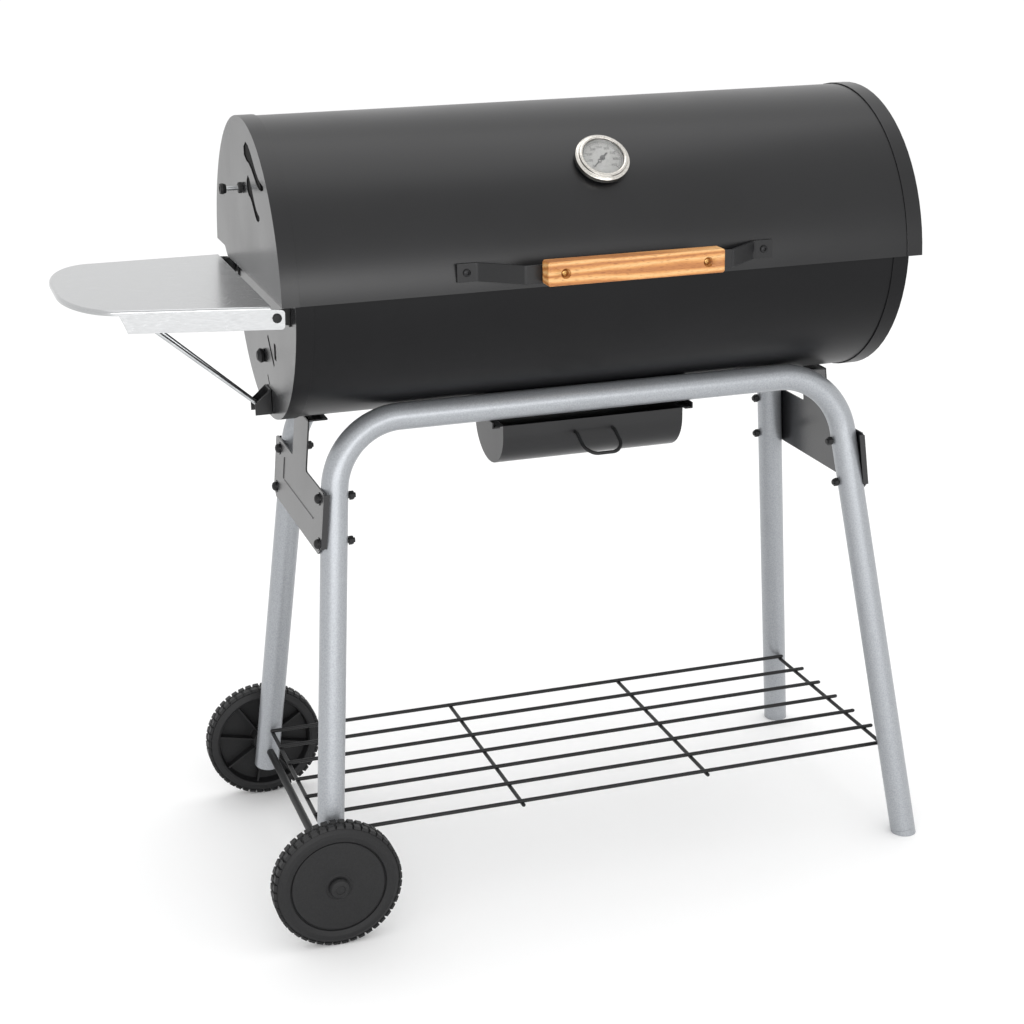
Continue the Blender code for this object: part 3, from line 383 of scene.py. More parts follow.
def tube(path, radius, bend_axis, around=24, bore=None):
    """A ring square to the path at each of its points, its first spoke along path x bend axis."""
    path = np.asarray(path, float)
    along = np.gradient(path, axis=0)
    along /= np.linalg.norm(along, axis=1)[:, None]
    across = np.cross(along, np.asarray(bend_axis, float))
    across /= np.linalg.norm(across, axis=1)[:, None]
    third = np.cross(along, across)
    unit = circle(around)

    def rings(size):
        size = np.broadcast_to(np.asarray(size, float), (len(path),))[:, None, None]
        return path[:, None] + size * (unit[:, :1] * across[:, None] + unit[:, 1:] * third[:, None])

    if bore:
        return skin(np.concatenate([rings(radius), rings(bore)[::-1]]), True)
    return skin(rings(radius))


def wire(start, end, radius, around=16):
    """A straight wire with domed ends."""
    start, end = np.asarray(start, float), np.asarray(end, float)
    length = np.linalg.norm(end - start)
    turn = np.linspace(0, math.pi / 2, 4)
    dome = np.stack([radius * np.sin(turn), radius * (1 - np.cos(turn))], -1)
    profile = np.concatenate([dome, (dome * (1, -1) + (0, length))[::-1]])
    return turned(profile, start, end - start, around)


def arched(profile, start, end, steps):
    """Profile (x, r) at angle a about the lid's axis: y = cy + r cos(a), z = cz + r sin(a)."""
    profile = np.asarray(profile, float)
    turn = np.radians(np.linspace(start, end, steps + 1))[:, None]
    x = np.broadcast_to(profile[:, 0], (steps + 1, len(profile)))
    y = LID_AXIS[0] + profile[:, 1] * np.cos(turn)
    z = LID_AXIS[1] + profile[:, 1] * np.sin(turn)
    return skin(np.stack([x, y, z], -1))


def extruded(outline, axis, start, end, edge=0.0, steps=3):
    """An outline across an axis (X: y, z; Y: x, z; Z: x, y) carried along it, its end edges rounded."""
    outline = np.asarray(outline, float)
    ahead = np.roll(outline, -1, 0) - outline
    behind = outline - np.roll(outline, 1, 0)
    ahead /= np.linalg.norm(ahead, axis=1)[:, None]
    behind /= np.linalg.norm(behind, axis=1)[:, None]
    mean = ahead + behind
    mean /= np.linalg.norm(mean, axis=1)[:, None]
    x, y = outline.T
    side = np.sign(np.sum(x * np.roll(y, -1) - y * np.roll(x, -1)))
    inward = np.stack([-mean[:, 1], mean[:, 0]], -1) * side
    turn = np.linspace(0, math.pi / 2, steps + 1) if edge else np.array([math.pi / 2])
    rows = [(start + edge * (1 - math.cos(t)), edge * (1 - math.sin(t))) for t in turn]
    rows += [(end - edge * (1 - math.cos(t)), edge * (1 - math.sin(t))) for t in turn[::-1]]
    order = {"X": (1, 2, 0), "Y": (0, 2, 1), "Z": (0, 1, 2)}[axis]
    rings = np.zeros((len(rows), len(outline), 3))
    for i, (place, inset) in enumerate(rows):
        flat = outline + inward * inset
        rings[i, :, order[0]], rings[i, :, order[1]], rings[i, :, order[2]] = flat[:, 0], flat[:, 1], place
    return skin(rings)


def moved(shape, matrix):
    """A shape turned and moved by a 4 x 4 matrix."""
    points, faces = shape
    m = np.array(matrix)
    return points @ m[:3, :3].T + m[:3, 3], faces


def softened(node, look, edge, steps=2, round_look=None):
    """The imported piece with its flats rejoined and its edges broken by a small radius."""
    source = frame["nodes"][node]
    body = source["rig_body"]
    mesh = source.data.copy()
    work = bmesh.new()
    work.from_mesh(mesh)
    bmesh.ops.remove_doubles(work, verts=work.verts, dist=1e-5)
    bmesh.ops.dissolve_limit(work, angle_limit=math.radians(0.6), verts=work.verts, edges=work.edges)
    work.to_mesh(mesh)
    work.free()
    mesh.materials.clear()
    mesh.materials.append(LOOKS[look])
    # With a round look, faces square to X keep the first look and the rest take the round look. On the end
    # plates this makes the flats a lighter copy of the rim's paint, as painted reflection.
    if round_look:
        mesh.materials.append(LOOKS[round_look])
        normals = np.zeros(len(mesh.polygons) * 3)
        mesh.polygons.foreach_get("normal", normals)
        mesh.polygons.foreach_set("material_index", (np.abs(normals[::3]) < 0.7).astype(np.int32))
    mesh.shade_smooth()
    mesh.set_sharp_from_angle(angle=math.radians(CREASE))
    made = bpy.data.objects.new(node + "_fine", mesh)
    bpy.context.scene.collection.objects.link(made)
    if edge:
        bevel = made.modifiers.new("edge", "BEVEL")
        bevel.width = edge
        bevel.segments = steps
        bevel.limit_method = "ANGLE"
        bevel.angle_limit = math.radians(CREASE)
        bevel.harden_normals = True
    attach(made, body)
    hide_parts(node)
    return made


# ---- barrel ----
def lid_limits():
    """Angles of the lid's rear and front edges about its axis."""
    rear = math.degrees(math.asin((LID_REAR_Z - LID_AXIS[1]) / LID_R))
    return rear, 180 - math.degrees(math.asin((LID_FRONT_Z - LID_AXIS[1]) / LID_R))


def build_barrel():
    """The lid's rolled shell is remade round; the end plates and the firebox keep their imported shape."""
    rear, front = lid_limits()
    gap = 0.0003
    half = LID_HALF - SHEET - gap
    wall = [(MID_X - half, LID_R), (MID_X + half, LID_R), (MID_X + half, LID_R - SHEET),
            (MID_X - half, LID_R - SHEET)]
    put("lid_barrel", *arched(wall, rear, front, 180), "lid", "black_paint", ["lid_shell"])
    softened("firebox_shell", "fire_paint", 0.0004)
    for word in ("left", "right"):
        # Each end plate's flat face gets the lighter plate coat with its painted reflection; its rolled rim
        # keeps the paint of the lid or firebox.
        softened(f"lid_{word}_end", "plate_paint", 0.0005, round_look="black_paint")
        softened(f"firebox_{word}_end", "plate_paint", 0.0005, round_look="fire_paint")


# ---- handle ----
def lid_surface(z):
    """y of the lid's front at a height."""
    return LID_AXIS[0] - math.sqrt(LID_R ** 2 - (z - LID_AXIS[1]) ** 2)


def screw(name, seat, radius, look, nodes):
    """A raised head with a round recess, on its shank, facing the cook."""
    head = [(0, -0.012), (0.0025, -0.012), (0.0025, 0.0003), (radius, 0.0003), (radius * 0.97, radius * 0.28),
            (radius * 0.72, radius * 0.50), (radius * 0.46, radius * 0.55)]
    socket = [(radius * 0.40, radius * 0.18), (0, radius * 0.16)]
    put(name, *turned(head + socket, seat, (0, -1, 0), 36), "lid", look, nodes)


def build_handle():
    half, tall, front, screw_x = 0.105, 0.0135, -0.2400, 0.0845
    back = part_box("handle_grip")[1].y
    middle = HANDLE_Z + 0.003
    outline = rounded([(MID_X - half, middle - tall), (MID_X + half, middle - tall),
                       (MID_X + half, middle + tall), (MID_X - half, middle + tall)], 0.003, 8)
    grip = put("oak_grip", *extruded(outline, "Y", front, back, 0.0022, 4), "lid", "oak", ["handle_grip"])
    pocket = [(0, -0.004), (0.0058, -0.004), (0.0058, 0.0056), (0, 0.0056)]
    pockets = [turned(pocket, (MID_X + side * screw_x, front, middle), (0, 1, 0), 36) for side in (-1, 1)]
    carve(grip, "grip_pockets", both(*pockets))
    strap = 0.0105                   # half the strap's width
    foot_y = lid_surface(HANDLE_Z - strap) - 0.0033
    for side, word in ((-1, "left"), (1, "right")):
        line = rounded([(0.191, foot_y), (0.168, foot_y), (0.124, -0.218), (0.066, -0.218)], 0.006, 8, False)
        inner = [(0.191, foot_y + 0.003), (0.1668, foot_y + 0.003), (0.1228, -0.215), (0.066, -0.215)]
        inner = rounded(inner, 0.004, 8, False)
        outline = np.concatenate([line, inner[::-1]]) * (side, 1) + (MID_X, 0)
        put(f"{word}_strap", *extruded(outline, "Z", HANDLE_Z - strap, HANDLE_Z + strap, 0.0006, 2), "lid",
            "black_paint", [f"{word}_handle_strap"])
        screw(f"{word}_strap_bolt", (MID_X + side * 0.180, foot_y, HANDLE_Z), 0.0045, "dark_screw",
              [f"{word}_strap_screw"])
        screw(f"{word}_grip_bolt", (MID_X + side * screw_x, front + 0.0056, middle), 0.0042, "yellow_screw",
              [f"{word}_grip_screw"])


def carve(target, name, shape):
    """Takes a hidden shape out of the target."""
    mesh = bpy.data.meshes.new(name)
    mesh.from_pydata(shape[0].tolist(), [], shape[1])
    work = bmesh.new()
    work.from_mesh(mesh)
    bmesh.ops.remove_doubles(work, verts=work.verts, dist=2e-6)
    bmesh.ops.recalc_face_normals(work, faces=work.faces)
    work.to_mesh(mesh)
    work.free()
    cutter = bpy.data.objects.new(name, mesh)
    bpy.context.scene.collection.objects.link(cutter)
    step = target.modifiers.new("carve", "BOOLEAN")
    step.operation = "DIFFERENCE"
    step.solver = "EXACT"
    step.object = cutter
    bpy.context.view_layer.update()
    result = bpy.data.meshes.new_from_object(target.evaluated_get(bpy.context.evaluated_depsgraph_get()))
    target.modifiers.clear()
    target.data = result
    result.set_sharp_from_angle(angle=math.radians(CREASE))
    bpy.data.objects.remove(cutter)


# ---- thermometer ----
def gauge_basis():
    """The thermometer's place on the lid: across, up its face, and outwards."""
    joint = JOINTS["thermometer_needle_pivot"]
    out = -Vector(joint["axis"]).normalized()
    across = Vector((1, 0, 0))
    basis = Matrix((across, out.cross(across), out)).transposed().to_4x4()
    return Matrix.Translation(Vector(joint["pos_m"])) @ basis


def build_thermometer():
    place = gauge_basis()
    case = [(0, -0.060), (0.003, -0.060), (0.003, -0.020), (0.005, -0.018), (0.005, 0.0004), (0.0275, 0.0004)]
    rim = rounded([(0.0300, 0.0004), (0.0318, 0.0020), (0.0320, 0.0072), (0.0300, 0.0086), (0.0288, 0.0088),
                   (0.0282, 0.0112), (0.0262, 0.0120), (0.0246, 0.0112), (0.0240, 0.0098)], 0.0007, 5, False)
    tail = [(0.0240, 0.0080), (0.0269, 0.0080), (0.0269, 0.0036), (0, 0.0036)]
    profile = np.concatenate([case, rim, tail])
    put("gauge_case", *moved(turned(profile, (0, 0, 0), (0, 0, 1), 96), place), "lid", "bright_steel",
        ["thermometer_case"])
    dial = [(0.0022, 0.0039), (0.0266, 0.0039), (0.0266, 0.0048), (0.0022, 0.0048)]
    put("gauge_dial", *moved(turned(dial, (0, 0, 0), (0, 0, 1), 72, True), place), "lid", "dial",
        ["thermometer_dial"])
    glass = [(0, 0.0086), (0.0238, 0.0086), (0.0238, 0.0096), (0.017, 0.0103), (0.009, 0.0108), (0, 0.0110)]
    put("gauge_glass", *moved(turned(glass, (0, 0, 0), (0, 0, 1), 72), place), "lid", "clear_glass",
        ["thermometer_glass"])
    build_dial_print(place)
    build_needle(place)


def build_dial_print(place):
    """Ticks round 260 degrees, every fifth one long and with its number."""
    z, thick, first, step = 0.00486, 0.0001, 220, 6.5
    bars = []
    for i in range(41):
        turn = math.radians(first - step * i)
        long_one = i % 5 == 0
        inner = 0.0182 if long_one else 0.0197
        wide = 0.00032 if long_one else 0.00018
        bar = rounded([(inner, -wide), (0.0215, -wide), (0.0215, wide), (inner, wide)], 0)
        bars.append(moved(extruded(bar, "Z", z, z + thick), Matrix.Rotation(turn, 4, "Z")))
    ring = [(0.0222, z), (0.0226, z), (0.0226, z + thick), (0.0222, z + thick)]
    bars.append(turned(ring, (0, 0, 0), (0, 0, 1), 72, True))
    put("dial_ticks", *moved(both(*bars), place), "lid", "needle_black", slot="needle_black")
    for i in range(9):
        turn = math.radians(first - 5 * step * i)
        word = bpy.data.curves.new(f"dial_number_{i}", "FONT")
        word.body = str(50 + 50 * i)
        word.size = 0.0044
        word.align_x = "CENTER"
        word.align_y = "CENTER"
        word.extrude = 0.00005
        holder = bpy.data.objects.new(f"dial_number_{i}_text", word)
        bpy.context.scene.collection.objects.link(holder)
        bpy.context.view_layer.update()
        mesh = bpy.data.meshes.new_from_object(holder.evaluated_get(bpy.context.evaluated_depsgraph_get()))
        bpy.data.objects.remove(holder)
        spot = (0.0152 * math.cos(turn), 0.0152 * math.sin(turn), z)
        mesh.transform(place @ Matrix.Translation(spot))
        mesh.materials.clear()
        mesh.materials.append(LOOKS["needle_black"])
        number = bpy.data.objects.new(f"dial_number_{i}", mesh)
        bpy.context.scene.collection.objects.link(number)
        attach(number, "lid")


def build_needle(place):
    """A tapered hand with an open loop near its hub, on a turned pin."""
    under, over = 0.0057, 0.0064
    loop = turned([(0.0016, under), (0.0023, under), (0.0023, over), (0.0016, over)], (0.0058, 0, 0),
                  (0, 0, 1), 24, True)
    tip = [(0.0078, -0.0008), (0.0165, -0.0002), (0.0165, 0.0002), (0.0078, 0.0008)]
    tip = extruded(tip, "Z", under, over)
    root = [(-0.0088, -0.0010), (0.0038, -0.0010), (0.0038, 0.0010), (-0.0088, 0.0010)]
    root = extruded(root, "Z", under, over)
    pin = turned([(0, 0.0045), (0.0016, 0.0045), (0.0016, 0.0056), (0.0030, 0.0056), (0.0028, 0.0068),
                  (0, 0.0070)], (0, 0, 0), (0, 0, 1), 24)
    turn = Matrix.Rotation(math.radians(222), 4, "Z")
    put("gauge_needle", *moved(both(loop, tip, root, pin), place @ turn), "thermometer_needle",
        "needle_black", ["thermometer_needle"])


# ---- stand ----
def leg_point(xs, side, z):
    """The middle of a leg's tube at a height."""
    t = 1 - z / RAIL[1]
    return np.array([xs[0] + (xs[1] - xs[0]) * t, side * (RAIL[0] + (FOOT_Y - RAIL[0]) * t), z])


def build_stand():
    for side, word in ((-1, "front"), (1, "rear")):
        line = [leg_point(LEFT_LEG, side, 0.052), leg_point(LEFT_LEG, side, RAIL[1]),
                leg_point(RIGHT_LEG, side, RAIL[1]), leg_point(RIGHT_LEG, side, 0.006)]
        path = rounded(line, 0.085, 28, False)
        normal = np.cross(line[1] - line[0], line[2] - line[1])
        put(f"{word}_stand_tube", *tube(path, TUBE_R, normal / np.linalg.norm(normal), 48, TUBE_R - 0.0015),
            "stand", "silver_paint", [f"{word}_frame_tube"])
        softened(f"right_{word}_foot", "silver_paint", 0.0008)
    build_wire_shelf()
    for word, xs, side in (("left", LEFT_LEG, -1), ("right", RIGHT_LEG, 1)):
        build_leg_bracket(word, xs, side)
        for leg, leg_side in (("front", -1), ("rear", 1)):
            for z in BOLT_ROWS:
                nodes = [f"{word}_{leg}_bolt"] if z == BOLT_ROWS[0] else []
                build_leg_bolt(f"{word}_{leg}_bolt_{int(z * 1000)}", leg_point(xs, leg_side, z), side, nodes)


def build_leg_bracket(word, xs, side):
    """A plate over both legs, with a web and tab up to the barrel and its outer edges turned in.

    It is drawn with x measured from the outside of the legs, then leaned as they lean.
    """
    low_z, high_z, wide, reach, web, top = 0.453, 0.530, 0.127, 0.1296, 0.036, 0.5920
    inside, outside = 0.0004, 0.0024
    outline = rounded([(-wide, high_z), (-wide, low_z + 0.009), (-wide + 0.010, low_z), (wide - 0.010, low_z),
                       (wide, low_z + 0.009), (wide, high_z), (web, high_z), (web, top), (-web, top),
                       (-web, high_z)], [0.002, 0.004, 0.006, 0.006, 0.004, 0.002, 0.004, 0, 0, 0.004])
    bend = [(inside, top), (outside, top), (outside, top - 0.002), (inside, top - 0.002)]
    tab = [(0.0020, top - 0.002), (0.0020, top), (-0.0216, top), (-0.0216, top - 0.002)]
    shapes = [extruded(outline, "X", inside, outside, 0.0004, 2), extruded(bend, "Y", -web, web),
              extruded(tab, "Y", -web, web, 0.0004, 2)]
    for edge in (-1, 1):
        flange = [(outside, wide - 0.001), (outside, reach + SHEET), (-0.0045, reach + SHEET),
                  (-0.0045, reach), (0.0008, reach), (0.0008, wide - 0.001)]
        flange = np.array(flange) * (1, edge)
        shapes.append(extruded(flange, "Z", low_z + 0.010, high_z - 0.002, 0.0003, 2))
        for level in BOLT_ROWS:
            washer = [(0.0031, 0.0018), (0.0078, 0.0018), (0.0078, 0.0034), (0.0031, 0.0034)]
            spot = leg_point(xs, edge, level)
            shapes.append(turned(washer, (0, spot[1], level), (1, 0, 0), 28, True))
    bead_x, bead_z, bead_y, bead_r = 0.0021, 0.487, 0.079, 0.0012
    shapes.append(wire((bead_x, -0.085, bead_z), (bead_x, bead_y - 0.005, bead_z), bead_r))
    shapes.append(wire((bead_x, bead_y, bead_z), (bead_x, bead_y, 0.515), bead_r))
    floor_x, lean = leg_point(xs, 1, 0)[0], leg_point(xs, 1, 1)[0] - leg_point(xs, 1, 0)[0]
    placed = []
    for points, faces in shapes:
        face_x = floor_x + lean * points[:, 2]
        flat = np.stack([face_x + side * (TUBE_R + points[:, 0]), points[:, 1], points[:, 2]], -1)
        placed.append((flat, faces))
    # The bracket takes the lighter plate coat, whose light tone is painted reflection.
    put(f"{word}_leg_plate", *both(*placed), "stand", "plate_paint", [f"{word}_leg_bracket"])


def build_leg_bolt(name, spot, side, nodes):
    """A domed bolt through bracket and tube, with its nut and the bolt's end on the other side."""
    head = TUBE_R + 0.0038
    nut = -(TUBE_R + 0.0016)
    profile = [(0, head + 0.0042), (0.0024, head + 0.0040), (0.0045, head + 0.0030), (0.0058, head + 0.0008),
               (0.0060, head - 0.0006), (0.003, head - 0.0006), (0.003, nut), (0.003, nut - 0.0072),
               (0, nut - 0.0072)]
    bolt = turned(profile[::-1], spot, (side, 0, 0), 28)
    nut_shape = turned([(0.003, nut - 0.0052), (0.0050, nut - 0.0052), (0.0056, nut - 0.0040), (0.0056, nut),
                        (0.003, nut)], spot, (side, 0, 0), 6, True)
    put(name, *both(bolt, nut_shape), "stand", "black_plastic", nodes)


def build_wire_shelf():
    """Seven long wires over four cross wires."""
    radius, spacing, weld = 0.0025, 0.0513, 0.002
    left = leg_point(LEFT_LEG, 1, WIRE_Z)[0]
    right = leg_point(RIGHT_LEG, 1, WIRE_Z)[0]
    reach = leg_point(LEFT_LEG, 1, WIRE_Z)[1] - TUBE_R - 0.0012
    wires = []
    for i in range(-3, 4):
        y = i * spacing
        tail = 0.0 if abs(i) == 3 else 0.008
        start = (left - 0.004, y, WIRE_Z + weld)
        wires.append(wire(start, (right + 0.004 + tail, y, WIRE_Z + weld), radius))
    for share in (0, 0.333, 0.664, 1):
        x = left + (right - left) * share
        half = reach if share in (0, 1) else 3 * spacing + 0.006
        wires.append(wire((x, -half, WIRE_Z - weld), (x, half, WIRE_Z - weld), radius))
    put("lower_wire_shelf", *both(*wires), "stand", "black_wire", ["wire_shelf"])


# ---- wheels ----
def build_wheel(side, word):
    """A moulded wheel: tread lugs in two staggered rows, a stepped face, a hub and eight ribs behind."""
    x = JOINTS[f"{word}_wheel_spin"]["pos_m"][0]
    centre = (x, side * WHEEL_FACE, WHEEL_R)
    outward = (0, side, 0)
    face = [(0.0056, -0.0010), (0.0150, -0.0010), (0.0165, -0.0026), (0.0540, -0.0032), (0.0556, -0.0030),
            (0.0562, -0.0050), (0.0574, -0.0050), (0.0580, -0.0022), (0.0640, -0.0008), (0.0690, -0.0012),
            (0.0735, -0.0036), (0.0752, -0.0080), (0.0756, -0.0135), (0.0752, -0.0190), (0.0730, -0.0240),
            (0.0650, -0.0266), (0.0620, -0.0250), (0.0600, -0.0120), (0.0180, -0.0110), (0.0150, -0.0262),
            (0.0056, -0.0262)]
    disc = turned(rounded(face, 0.0012, 3), centre, outward, 96, True)
    lugs = []
    for row, (near, far) in enumerate(((-0.0030, -0.0128), (-0.0142, -0.0240))):
        for i in range(LUGS):
            lugs.append((i + 0.5 * row, near, far))
    parts = [disc, lug_skin(lugs, centre, side)]
    rib = [(0.0150, -0.0012), (0.0610, -0.0012), (0.0610, 0.0012), (0.0150, 0.0012)]
    rib = extruded(rib, "Z", 0.0108, 0.0225)
    for i in range(8):
        turn = Matrix.Rotation(math.radians(45 * i + 12), 4, "Y")
        lay = Matrix.Rotation(math.radians(90 * side), 4, "X")
        parts.append(moved(rib, Matrix.Translation(centre) @ turn @ lay))
    put(f"{word}_wheel_tyre", *both(*parts), f"{word}_wheel", "black_plastic", [f"{word}_wheel"])
    cap = rounded([(0.0125, 0.0008), (0.0125, 0.0034), (0.0108, 0.0062), (0.0060, 0.0070)], 0.0012, 4, False)
    inner = [(0.0052, 0.0060), (0, 0.0060)]
    start = [(0, 0.0046), (0.0054, 0.0046), (0.0054, 0.0008)]
    put(f"{word}_axle_cap", *turned(np.concatenate([start, cap, inner]), centre, outward, 48), "stand",
        "black_plastic", [f"{word}_hub_cap"])


def lug_skin(lugs, centre, side):
    """Each lug is a block on the tread, narrower at its top than at its foot."""
    pitch = 2 * math.pi / LUGS
    place = np.array(lugs)
    foot, top = pitch * 0.43, pitch * 0.34
    turn = np.array([-foot, foot, foot, -foot, -top, top, top, -top])
    radius = np.array([0.0740] * 4 + [0.0773] * 4)
    depth = np.array([0.0, 0.0, 1.0, 1.0, 0.12, 0.12, 0.88, 0.88])
    angle = place[:, :1] * pitch + turn
    y = place[:, 1:2] + (place[:, 2:3] - place[:, 1:2]) * depth
    x, z = centre[0] + radius * np.cos(angle), centre[2] + radius * np.sin(angle)
    points = np.stack([x, centre[1] + side * y, z], -1)
    quads = np.array([[0, 1, 2, 3], [4, 7, 6, 5], [0, 4, 5, 1], [1, 5, 6, 2], [2, 6, 7, 3], [3, 7, 4, 0]])
    faces = (np.arange(len(place))[:, None, None] * 8 + quads).reshape(-1, 4)
    return points.reshape(-1, 3), faces.tolist()


# ---- side shelf ----
def shelf_point(reach, y, height):
    """Places in the frame from distance out from the pivot, y from its middle and height over it."""
    joint = JOINTS["side_shelf_fold"]["pos_m"]
    tilt = math.radians(1.6)
    x, z = -np.asarray(reach, float), np.asarray(height, float)
    return np.stack([joint[0] + x * math.cos(tilt) + z * math.sin(tilt),
                     joint[1] + np.asarray(y, float) + 0 * x,
                     joint[2] - x * math.sin(tilt) + z * math.cos(tilt)], -1)


def build_side_shelf():
    """A folded tray: its edge rolls down over a radius, deep along the sides and shallow round the end."""
    length, corner, deep, rim = 0.2235, 0.060, 0.110, 0.006
    straight = length - corner
    near = np.linspace(SHELF_INNER, straight, 40)
    turn = np.linspace(0.05, 1, 24) * math.pi / 2
    reach = np.concatenate([near, straight + corner * np.sin(turn)])
    taper = SHELF_HALF - SHELF_TAPER * (near - SHELF_INNER) / (straight - SHELF_INNER)
    half = np.concatenate([taper, SHELF_HALF - SHELF_TAPER - deep * (1 - np.cos(turn))])
    edge = np.concatenate([np.stack([reach, -half], -1), np.stack([reach, half], -1)[::-1]])
    ahead = np.gradient(edge, axis=0)
    ahead /= np.linalg.norm(ahead, axis=1)[:, None]
    inward = np.stack([-ahead[:, 1], ahead[:, 0]], -1)
    if np.sum(inward * (np.array([0.1, 0.0]) - edge)) < 0:
        inward = -inward
    past = np.clip((edge[:, 0] - (straight - 0.004)) / 0.008, 0, 1)
    depth = SHELF_DROP - (SHELF_DROP - rim) * past
    roll = 0.0030
    turn = np.linspace(0, math.pi / 2, 6)
    rows = [(edge + inward * (roll * (1 - math.sin(t))),
             np.full(len(edge), SHELF_TOP - roll * (1 - math.cos(t)))) for t in turn]
    rows += [(edge, SHELF_TOP - roll - (depth - roll) * share) for share in (0.25, 0.5, 0.75, 1.0)]
    grid = np.stack([shelf_point(flat[:, 0], flat[:, 1], height) for flat, height in rows])
    count = len(edge)
    index = np.arange(grid.shape[0] * count).reshape(grid.shape[0], count)
    quads = np.stack([index[:-1, :-1], index[:-1, 1:], index[1:, 1:], index[1:, :-1]], -1).reshape(-1, 4)
    faces = quads.tolist() + [index[0].tolist()]
    points = grid.reshape(-1, 3)
    for sign, column in ((-1, 0), (1, count - 1)):
        points, faces = add_ear(points, faces, index[:, column], sign)
    sheet_piece("shelf_tray", points, faces, (0, 0, 1), SHEET, "side_shelf", "brushed_steel", ["side_shelf"])


def add_ear(points, faces, column, sign):
    """The apron's inner end past the pivot, its two corners on 4 mm radii."""
    end, bottom = -0.009, SHELF_TOP - SHELF_DROP
    outline = [(SHELF_INNER, SHELF_TOP - 0.003), (end, SHELF_TOP - 0.004), (end, bottom),
               (SHELF_INNER, bottom)]
    reach, height = rounded(outline, [0, 0.004, 0.004, 0], 5, False).T
    y = sign * (SHELF_HALF + (SHELF_INNER - reach) * SHELF_TAPER / 0.157)
    ear = shelf_point(reach, y, height)
    base = len(points)
    rim = column[5:]
    faces = faces + [list(rim) + [base + i for i in range(len(ear))][::-1]]
    return np.concatenate([points, ear]), faces


def sheet_piece(name, points, faces, facing, thickness, body, look, replaces, edge=0.0004):
    """An open surface given its thickness on the side away from facing, with its cut edges broken."""
    made = put(name, points, faces, body, look, replaces, even=False)
    work = bmesh.new()
    work.from_mesh(made.data)
    work.normal_update()
    widest = max(work.faces, key=lambda f: f.calc_area() * abs(f.normal.dot(Vector(facing))))
    if widest.normal.dot(Vector(facing)) < 0:
        bmesh.ops.reverse_faces(work, faces=work.faces)
    work.to_mesh(made.data)
    work.free()
    solid = made.modifiers.new("sheet", "SOLIDIFY")
    solid.thickness = thickness
    solid.offset = -1.0
    solid.use_even_offset = True
    bevel = made.modifiers.new("edge", "BEVEL")
    bevel.width = edge
    bevel.segments = 2
    bevel.limit_method = "ANGLE"
    bevel.angle_limit = math.radians(50)
    made.modifiers.new("even_shading", "WEIGHTED_NORMAL").keep_sharp = True
    return made


def build_strut():
    """A hairpin of wire, from eyes under the shelf to a loop in the hook."""
    pivot = np.array(JOINTS["strut_swing"]["pos_m"])
    bottom = np.array([JOINTS["side_shelf_fold"]["pos_m"][0] + 0.0045, pivot[1] - 0.012, 0.6060])
    wide, loop = 0.028, 0.006
    near = bottom + (-0.010, 0, 0.0085)
    half = [(pivot, wide + 0.008), (pivot, wide), (near, loop), (bottom, loop)]
    line = [spot - (0, y, 0) for spot, y in half] + [spot + (0, y, 0) for spot, y in half[::-1]]
    path = rounded(line, [0, 0.006, 0.004, 0.004, 0.004, 0.004, 0.006, 0], 7, False)
    slope = (bottom - pivot) * (1, 0, 1)
    normal = np.cross(slope, (0, 1, 0))
    put("strut_wire", *tube(path, 0.0025, normal / np.linalg.norm(normal), 20), "side_shelf_strut",
        "zinc_wire", ["shelf_strut"])


# ---- ash pan ----
def build_ash_pan():
    """A trough whose section is half an ellipse under a straight wall, with flat ends and side flanges."""
    half_y, half_x, depth, wall = 0.056, 0.115, 0.046, 0.012
    turn = np.linspace(0, math.pi, 41)
    y = np.concatenate([[half_y], half_y * np.cos(turn), [-half_y]]) + PAN_Y
    z = np.concatenate([[PAN_TOP], PAN_TOP - wall - depth * np.sin(turn), [PAN_TOP]])
    rows = [np.stack([np.full(len(y), MID_X + x), y, z], -1) for x in (-half_x, 0, half_x)]
    count = len(y)
    index = np.arange(3 * count).reshape(3, count)
    quads = np.stack([index[:-1, :-1], index[:-1, 1:], index[1:, 1:], index[1:, :-1]], -1).reshape(-1, 4)
    faces = quads.tolist() + [index[0].tolist(), index[2][::-1].tolist()]
    points = np.concatenate(rows)
    for row, side in ((0, -1), (2, 1)):
        base = len(points)
        wing = [(MID_X + side * (half_x + 0.010), PAN_Y + half_y, PAN_TOP),
                (MID_X + side * (half_x + 0.010), PAN_Y - half_y, PAN_TOP)]
        points = np.concatenate([points, wing])
        faces.append([index[row, 0], base, base + 1, index[row, -1]])
    sheet_piece("ash_trough", points, faces, (0, 0, -1), 0.001, "ash_pan", "black_paint", ["ash_pan"], 0.0003)
    front = PAN_Y - half_y
    z = PAN_TOP - wall - 0.004
    half = np.array([(0.024, front + 0.006, z), (0.024, front - 0.006, z), (0.024, front - 0.030, z - 0.012),
                     (0.014, front - 0.040, z - 0.017)])
    line = np.concatenate([half * (-1, 1, 1), half[::-1]]) + (MID_X, 0, 0)
    path = rounded(line, [0, 0.010, 0.02, 0.012, 0.012, 0.02, 0.010, 0], 8, False)
    put("ash_pull", *tube(path, 0.0022, (0, 0.45, -0.9), 20), "ash_pan", "black_wire", ["ash_pan_handle"])


